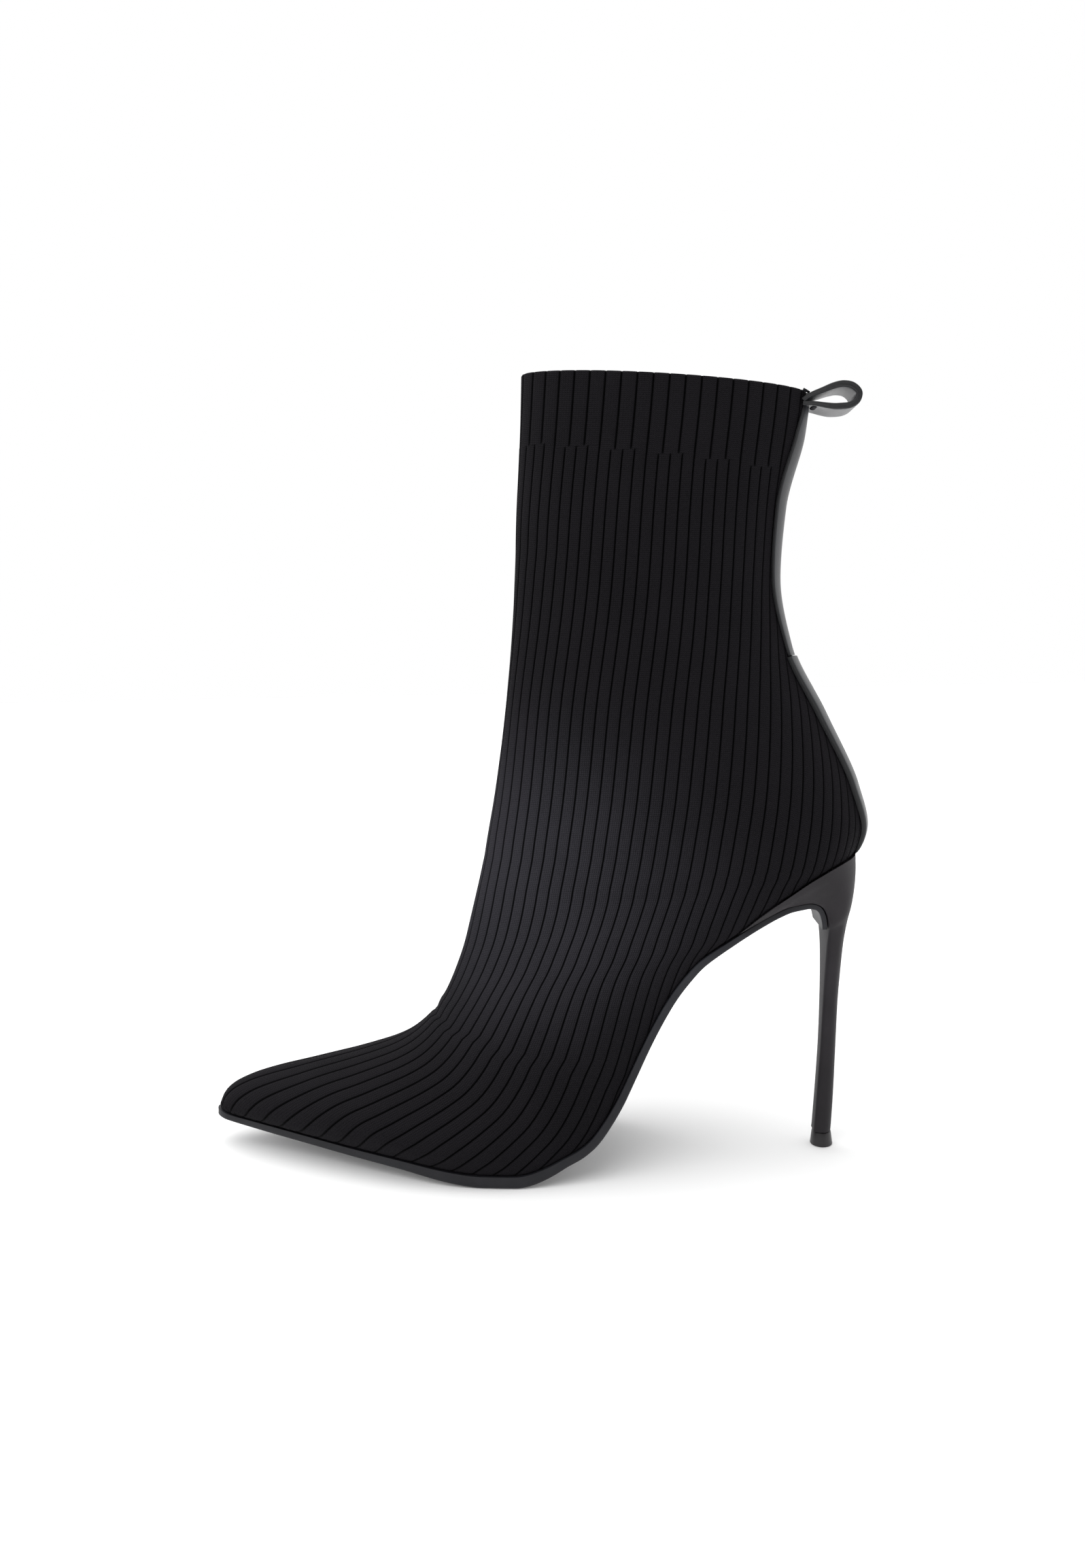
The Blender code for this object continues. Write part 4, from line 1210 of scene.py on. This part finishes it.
# %% [markdown]
# ## The sole
#
# One thin sole runs from the toe up the waist, under the heel, and ends as a flap on the heel's breast. A
# section across it is a flat bar with rounded lower corners. Its middle line is the seat's, a hair below
# it, and at the heel a line of its own. The sections are the solid's, four times as close, so that the turn
# at the ball has no corners.

# %% Sole
BREAST = [
    # along  level  thick half
    (0.0420, 0.748, 0.40, 0.265),
    (0.0430, 0.768, 0.41, 0.295),
    (0.0466, 0.802, 0.42, 0.330),
    (0.0560, 0.836, 0.43, 0.375),
    (0.0750, 0.851, 0.44, 0.425),
    (0.1030, 0.845, 0.46, 0.475),
    (0.1500, 0.800, 0.48, 0.525),
    (0.1930, 0.744, 0.50, 0.555),
]
BREAST_START = 0.238
FINER = 4               # sections for each one of the solid's
TOE_TURN = [-4.0, -1.5, 0.0, 0.55, 0.9, 0.99]       # sections at the toe, in margins past the upper's end
SOLE_CORNER, SOLE_CORNER_MOST = 0.28, 0.3       # lower corner's radius, of thickness and of half width
SOLE_LIP, SOLE_LIP_MOST = 0.3 * MM, 0.2         # upper edge's radius, and its most of the half width


def line_normals(line):
    """Unit normals of a line of (x, z) points, to its left as it runs."""
    step = np.gradient(line, axis=0)
    step /= np.linalg.norm(step, axis=1, keepdims=True)
    return np.stack([step[:, 1], -step[:, 0]], axis=1)


def finer(values, times):
    """Rows between the rows of a table, on smooth curves."""
    values = np.asarray(values, float)
    at = np.linspace(0, len(values) - 1, (len(values) - 1) * times + 1)
    return np.stack([smooth_through(np.arange(len(values)), v, at) for v in values.T], axis=1)


def breast(row):
    """(along, level, thick, half) of the sole's line at the heel, between rows of its table."""
    table = np.array(BREAST)
    return [smooth_through(np.arange(len(table)), column, row) for column in table.T]


print("rows of the line at the heel:", len(BREAST))

# %% [markdown]
# The line along the sole starts on the heel's breast, joins the seat's line at the waist and ends past the
# toe. At each of its stations a ring is drawn round the section, a flat top, two thin rounded upper edges and
# two rounder lower corners, and the rings become a tube.

# %% Lay the sole
leaving = breast(np.linspace(0, len(BREAST) - 1, (len(BREAST) - 1) * 2 + 1))
knots = np.array([row[0] for row in SEAT_LINE if row[0] >= BREAST_START])
between = np.concatenate([np.linspace(a, b, 3)[:2] for a, b in zip(knots, knots[1:])])
share = np.r_[between, 1 + SOLE_MARGIN / LAST_LENGTH * np.array(TOE_TURN)]
along = np.r_[leaving[0], share]
thick = SOLE_THICKNESS * np.r_[leaving[2], seat("thick", share)]
half = np.r_[leaving[3] * SOLE_WIDTH / 2, seat_half(share, SOLE_MARGIN)]
line = np.stack(place(along, np.r_[leaving[1], seat("level", share)]), axis=1)
line = line - GAP * line_normals(line)
stations = finer(np.column_stack([line, line_normals(line), thick, half, side_shift(along)]), FINER)
points = []
for x, z, nx, nz, t, h, y in stations:
    r = min(SOLE_CORNER * t, SOLE_CORNER_MOST * h)
    lip = min(SOLE_LIP, SOLE_LIP_MOST * h)
    turn = np.linspace(0, math.pi / 2, 6)
    corner = np.stack([-h + r - r * np.cos(turn), -t + r - r * np.sin(turn)], axis=1)
    rim = np.array([(-h + lip, 0.0), (-h + 0.08 * lip, -0.3 * lip), (-h, -lip)])
    under = np.linspace(-h + r, h - r, 9)[1:-1]
    over = np.linspace(h - lip, -h + lip, 9)[1:]
    ring = np.concatenate([rim, corner, np.stack([under, 0 * under - t], axis=1), corner[::-1] * (-1, 1)])
    ring = np.concatenate([ring, rim[::-1] * (-1, 1), np.stack([over, 0 * over], axis=1)])
    points.append(np.stack([x + nx * ring[:, 1], y + ring[:, 0], z + nz * ring[:, 1]], axis=1))
sole = lay_grid("sole", np.array(points))
fill_ends(sole)
finish_piece(sole, rubber, ["outsole"], angle=40)

# %% [markdown]
# ## The heel
#
# The stiletto is a slim stem that opens into a cup under the seat and a wing along the waist. It could be
# carved from a cylinder, but its shape is a change from one outline to another, so it is lofted through
# sections that each run from the breast to the back line.

# %% Heel sections
HEEL_STEM = [
    # front along, level   back along, level   breast widest
    (0.0593, 0.000, 0.0316, 0.000, 0.062, 0.106),
    (0.0545, 0.134, 0.0275, 0.134, 0.062, 0.103),
    (0.0484, 0.328, 0.0235, 0.328, 0.068, 0.111),
    (0.0455, 0.473, 0.0205, 0.478, 0.085, 0.136),
    (0.0438, 0.572, 0.0171, 0.582, 0.112, 0.174),
    (0.0425, 0.668, 0.0132, 0.688, 0.165, 0.240),
]
HEEL_CUP = [
    # back along, level   widest seat
    (0.0080, 0.783, 0.330, 0.10),
    (0.0040, 0.832, 0.400, 0.28),
    (0.0005, 0.878, 0.460, 0.48),
    (-0.002, 0.913, 0.510, 0.66),
    (-0.004, 0.943, 0.550, 0.80),
    (-0.005, 0.964, 0.580, 0.90),
    (-0.006, 0.982, 0.600, 0.97),
]
WING_END, WING_HALF = 0.180, 0.6
CUP_MARGIN = 1.0 * MM
SEAT_CLEARANCE = 0.45 * MM      # the wing's end below the seat's line
BREAST_SPARE = 0.02             # cup's breast wider than the sole's flap on it, as a share
STEM_TOP = 0.7                  # level below which the stem is moved over its tip
TIP_HEIGHT = 5.0 * MM
HEEL_SIDE = 24
HEEL_FINER = 6                  # rings for each row of the tables


def heel_half(front, back, breast_half, widest, seated):
    """(x, y, z, half width) down one section of the heel, from its breast to its back line."""
    shape = half_profile(breast_half, widest, 0.0, 0.5, 2.0, 2.0)
    depth = math.dist(front, back)
    run = np.r_[0, np.cumsum(np.linalg.norm(np.diff(shape * (depth, 1), axis=0), axis=1))]
    at = np.linspace(0, run[-1], HEEL_SIDE + 1)
    share, width = (np.interp(at, run, shape[:, k]) for k in (0, 1))
    ends = [max((SEAT_BACK - p[0]) / LAST_LENGTH, 0) for p in (front, back)]
    chord = [float(place(a, seat("level", a))[1]) for a in ends]
    widen = breast_half - float(seat_half(ends[0], SOLE_MARGIN))
    x, z = (front[k] * (1 - share) + back[k] * share for k in (0, 1))
    along = (SEAT_BACK - x) / LAST_LENGTH
    seat_z = place(along, seat("level", np.maximum(along, 0)))[1]
    z = z + seated * (seat_z - chord[0] * (1 - share) - chord[1] * share)
    outline = seat_half(along, CUP_MARGIN) + widen * (1 - share) ** 3
    return x, side_shift(along), z, width + seated * (outline - width)


print("rows of the heel:", len(HEEL_STEM) + len(HEEL_CUP) + 1)

# %% [markdown]
# The rows of the stem, the cup and the wing's end make one table, and smooth curves through its columns give
# the rings between. Where the sole's flap covers the cup, the ring starts on the flap's own line.

# %% Lay the heel
rows = [(*row, 0.0) for row in HEEL_STEM]
for start_row, (back_along, back_level, widest, seated) in enumerate(HEEL_CUP):
    at_along, at_level, _, at_half = map(float, breast(start_row))
    rows.append((at_along, at_level, back_along, back_level, at_half + BREAST_SPARE, widest, seated))
rows.append((WING_END, float(seat("level", WING_END)), HEEL_CUP[-1][0], 1.0, WING_HALF, WING_HALF, 1.0))
table = np.array(rows)
foot = SEAT_BACK - LAST_LENGTH * (table[0, 0] + table[0, 2]) / 2
points = []
for i in np.linspace(0, len(table) - 1, (len(table) - 1) * HEEL_FINER + 1):
    row = [float(smooth_through(np.arange(len(table)), column, i)) for column in table.T]
    start_row = i - len(HEEL_STEM)
    if 0 <= start_row <= len(HEEL_CUP) - 1:
        row[:2] = map(float, breast(start_row)[:2])
    sunk = SEAT_CLEARANCE * max(0, start_row - len(HEEL_CUP) + 1)
    ends = []
    for at_along, at_level in (row[:2], row[2:4]):
        x, z = place(at_along, at_level)
        over_tip = foot * max(0.0, 1 - at_level / STEM_TOP)
        ends.append((float(x) - over_tip, max(float(z) - sunk, TIP_HEIGHT + GAP)))
    x, y, z, width = heel_half(*ends, row[4] * SOLE_WIDTH / 2, row[5] * SOLE_WIDTH / 2, row[6])
    left, right = (np.stack([x, y + side * width, z], axis=1) for side in (-1, 1))
    points.append(np.concatenate([left, right[::-1], left[:1]]))
heel = lay_grid("covered_heel", np.array(points))
print("heel top and foot in mm:", round(points[-1][:, 2].max() / MM, 1), round(points[0][:, 2].min() / MM, 1))

# %% [markdown]
# The heel is a tube of rings as the strips are, so its top and its foot are filled in the same way. The
# turned edges stay sharp: the leather there is thin and stretched tight.

# %% Close the heel
fill_ends(heel)
finish_piece(heel, heel_leather, ["heel"], angle=35)

# %% [markdown]
# ## The heel's tip
#
# The tip is a hard plastic plug, a little wider at the floor. This is the simplest piece to make by hand: a
# cylinder, its top drawn in, and its edges bevelled.

# %% Tip
TIP_DEPTH, TIP_WIDTH = 7.8 * MM, 8.6 * MM
TIP_TOP = 0.84          # the tip's top, as a share of its floor face
EDGE_RADIUS = 0.45 * MM
bpy.ops.object.select_all(action="DESELECT")
bpy.ops.mesh.primitive_cylinder_add(
    vertices=48, radius=1.0, depth=TIP_HEIGHT, location=(0, 0, TIP_HEIGHT / 2)
)
tip = bpy.context.object
tip.name = tip.data.name = "tip"
tip.scale = (TIP_DEPTH / 2, TIP_WIDTH / 2, 1.0)
bpy.ops.object.transform_apply(location=True, rotation=True, scale=True)
bpy.ops.object.mode_set(mode="EDIT")
bpy.ops.mesh.select_mode(type="VERT")
bpy.ops.mesh.select_all(action="DESELECT")
shape = bmesh.from_edit_mesh(tip.data)
for vertex in shape.verts:
    vertex.select_set(vertex.co.z > TIP_HEIGHT / 2)
shape.select_flush(True)
bpy.ops.transform.resize(value=(TIP_TOP, TIP_TOP, 1.0), center_override=(0, 0, TIP_HEIGHT))
bpy.ops.object.mode_set(mode="OBJECT")
apply_modifier(
    tip, "BEVEL", width=EDGE_RADIUS, segments=4, limit_method="ANGLE", angle_limit=math.radians(50)
)
finish_piece(tip, tip_plastic, ["heel_tip"], angle=40)

# %% [markdown]
# ## The insole
#
# Inside, a thin lining covers the board that the foot stands on. Its solid already has the right outline,
# so a copy of it is merged, its edge is rounded and it gets the lining's leather.

# %% Insole
bpy.ops.object.select_all(action="DESELECT")
LINING_EDGE = 0.5 * MM
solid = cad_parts["insole"]
insole = bpy.data.objects.new("insole_lining", solid.data.copy())
bpy.context.scene.collection.objects.link(insole)
insole.data.materials.clear()
merge(insole, 0.01 * MM)
alone(insole)
bpy.ops.object.mode_set(mode="EDIT")
bpy.ops.mesh.select_all(action="SELECT")
bpy.ops.mesh.tris_convert_to_quads()
bpy.ops.object.mode_set(mode="OBJECT")
apply_modifier(
    insole, "BEVEL", width=LINING_EDGE, segments=3, limit_method="ANGLE", angle_limit=math.radians(60)
)
finish_piece(insole, lining_leather, ["insole"], angle=40)

# %% [markdown]
# ## The studio
#
# The photograph has a pure white ground with a soft grey shadow. A wide white floor, lit brightly, under
# white surroundings gives much the same: both come out as full white, and the floor shows only where the
# boot keeps the light off. The floor also glows a little, though it is no lamp: this painted glow lightens
# the shadow under the boot and lights the boot faintly from below.

# %% Floor
bpy.ops.object.select_all(action="DESELECT")
bpy.ops.mesh.primitive_plane_add(size=8.0, location=(0, 0, 0))
floor = bpy.context.object
floor.name = floor.data.name = "floor"
# painted glow: the floor's faint emission lightens the boot's shadow on it
glowing_floor_paper, shader, start = new_material("glowing_white_paper", Base_Color=(0.92, 0.92, 0.92), Roughness=0.7,
                                     Emission_Color=(1.0, 1.0, 1.0), Emission_Strength=0.1)
floor.data.materials.append(glowing_floor_paper)
print("floor:", [round(side, 1) for side in floor.dimensions], "m")

# %% [markdown]
# The surroundings light the boot from all round, and more dimly from the camera's side, so that the black
# knit keeps its depth. Rays from the camera see them as plain white, whatever light they give.

# %% Surroundings
world = bpy.data.worlds.new("white_surroundings")
world.use_nodes = True
FRONT, ROUND = 0.20, 1.05      # brightness of the surroundings in front of the boot, and round it
sky = Wire(world.node_tree)
_, into, _ = sky.node("TexCoord", None, None, output=0).split()
shine = FRONT + into.rise(-0.95, 0.15) * (ROUND - FRONT)
seen = sky.node("LightPath", None, None)
backdrop = world.node_tree.nodes["Background"]
backdrop.inputs["Color"].default_value = (1.0, 1.0, 1.0, 1)
world.node_tree.links.new((seen + (1 - seen) * shine).socket, backdrop.inputs["Strength"])
bpy.context.scene.world = world
print("surroundings:", FRONT, "to", ROUND)

# %% [markdown]
# A wide soft sun stands high over the boot, a little to the toe's side and the camera's, and throws the
# shadow under it. A narrow soft spot lights the instep, where the photograph's knit is palest.

# %% Lamps


def lamp(name, kind, where, aim, **settings):
    """A lamp at a place that shines at another; for a sun only the direction between them counts."""
    data = bpy.data.lights.new(name, kind)
    for key, value in settings.items():
        setattr(data, key, value)
    made = bpy.data.objects.new(name, data)
    bpy.context.scene.collection.objects.link(made)
    made.matrix_world = look(Vector(where), Vector(aim))


lamp("overhead", "SUN", (-0.36, -0.22, 0.90), (0, 0, 0), angle=math.radians(80), energy=2.0)
lamp("instep_glow", "SPOT", (-0.62, -0.52, 0.24), (-0.104, -0.015, 0.099), energy=52,
     spot_size=math.radians(10), spot_blend=1.0, shadow_soft_size=0.02, color=(0.90, 0.96, 1.0))
bpy.context.scene.view_settings.view_transform = "Standard"

# %% [markdown]
# ## Size and finish
#
# The finished model has to be as large as the solids.
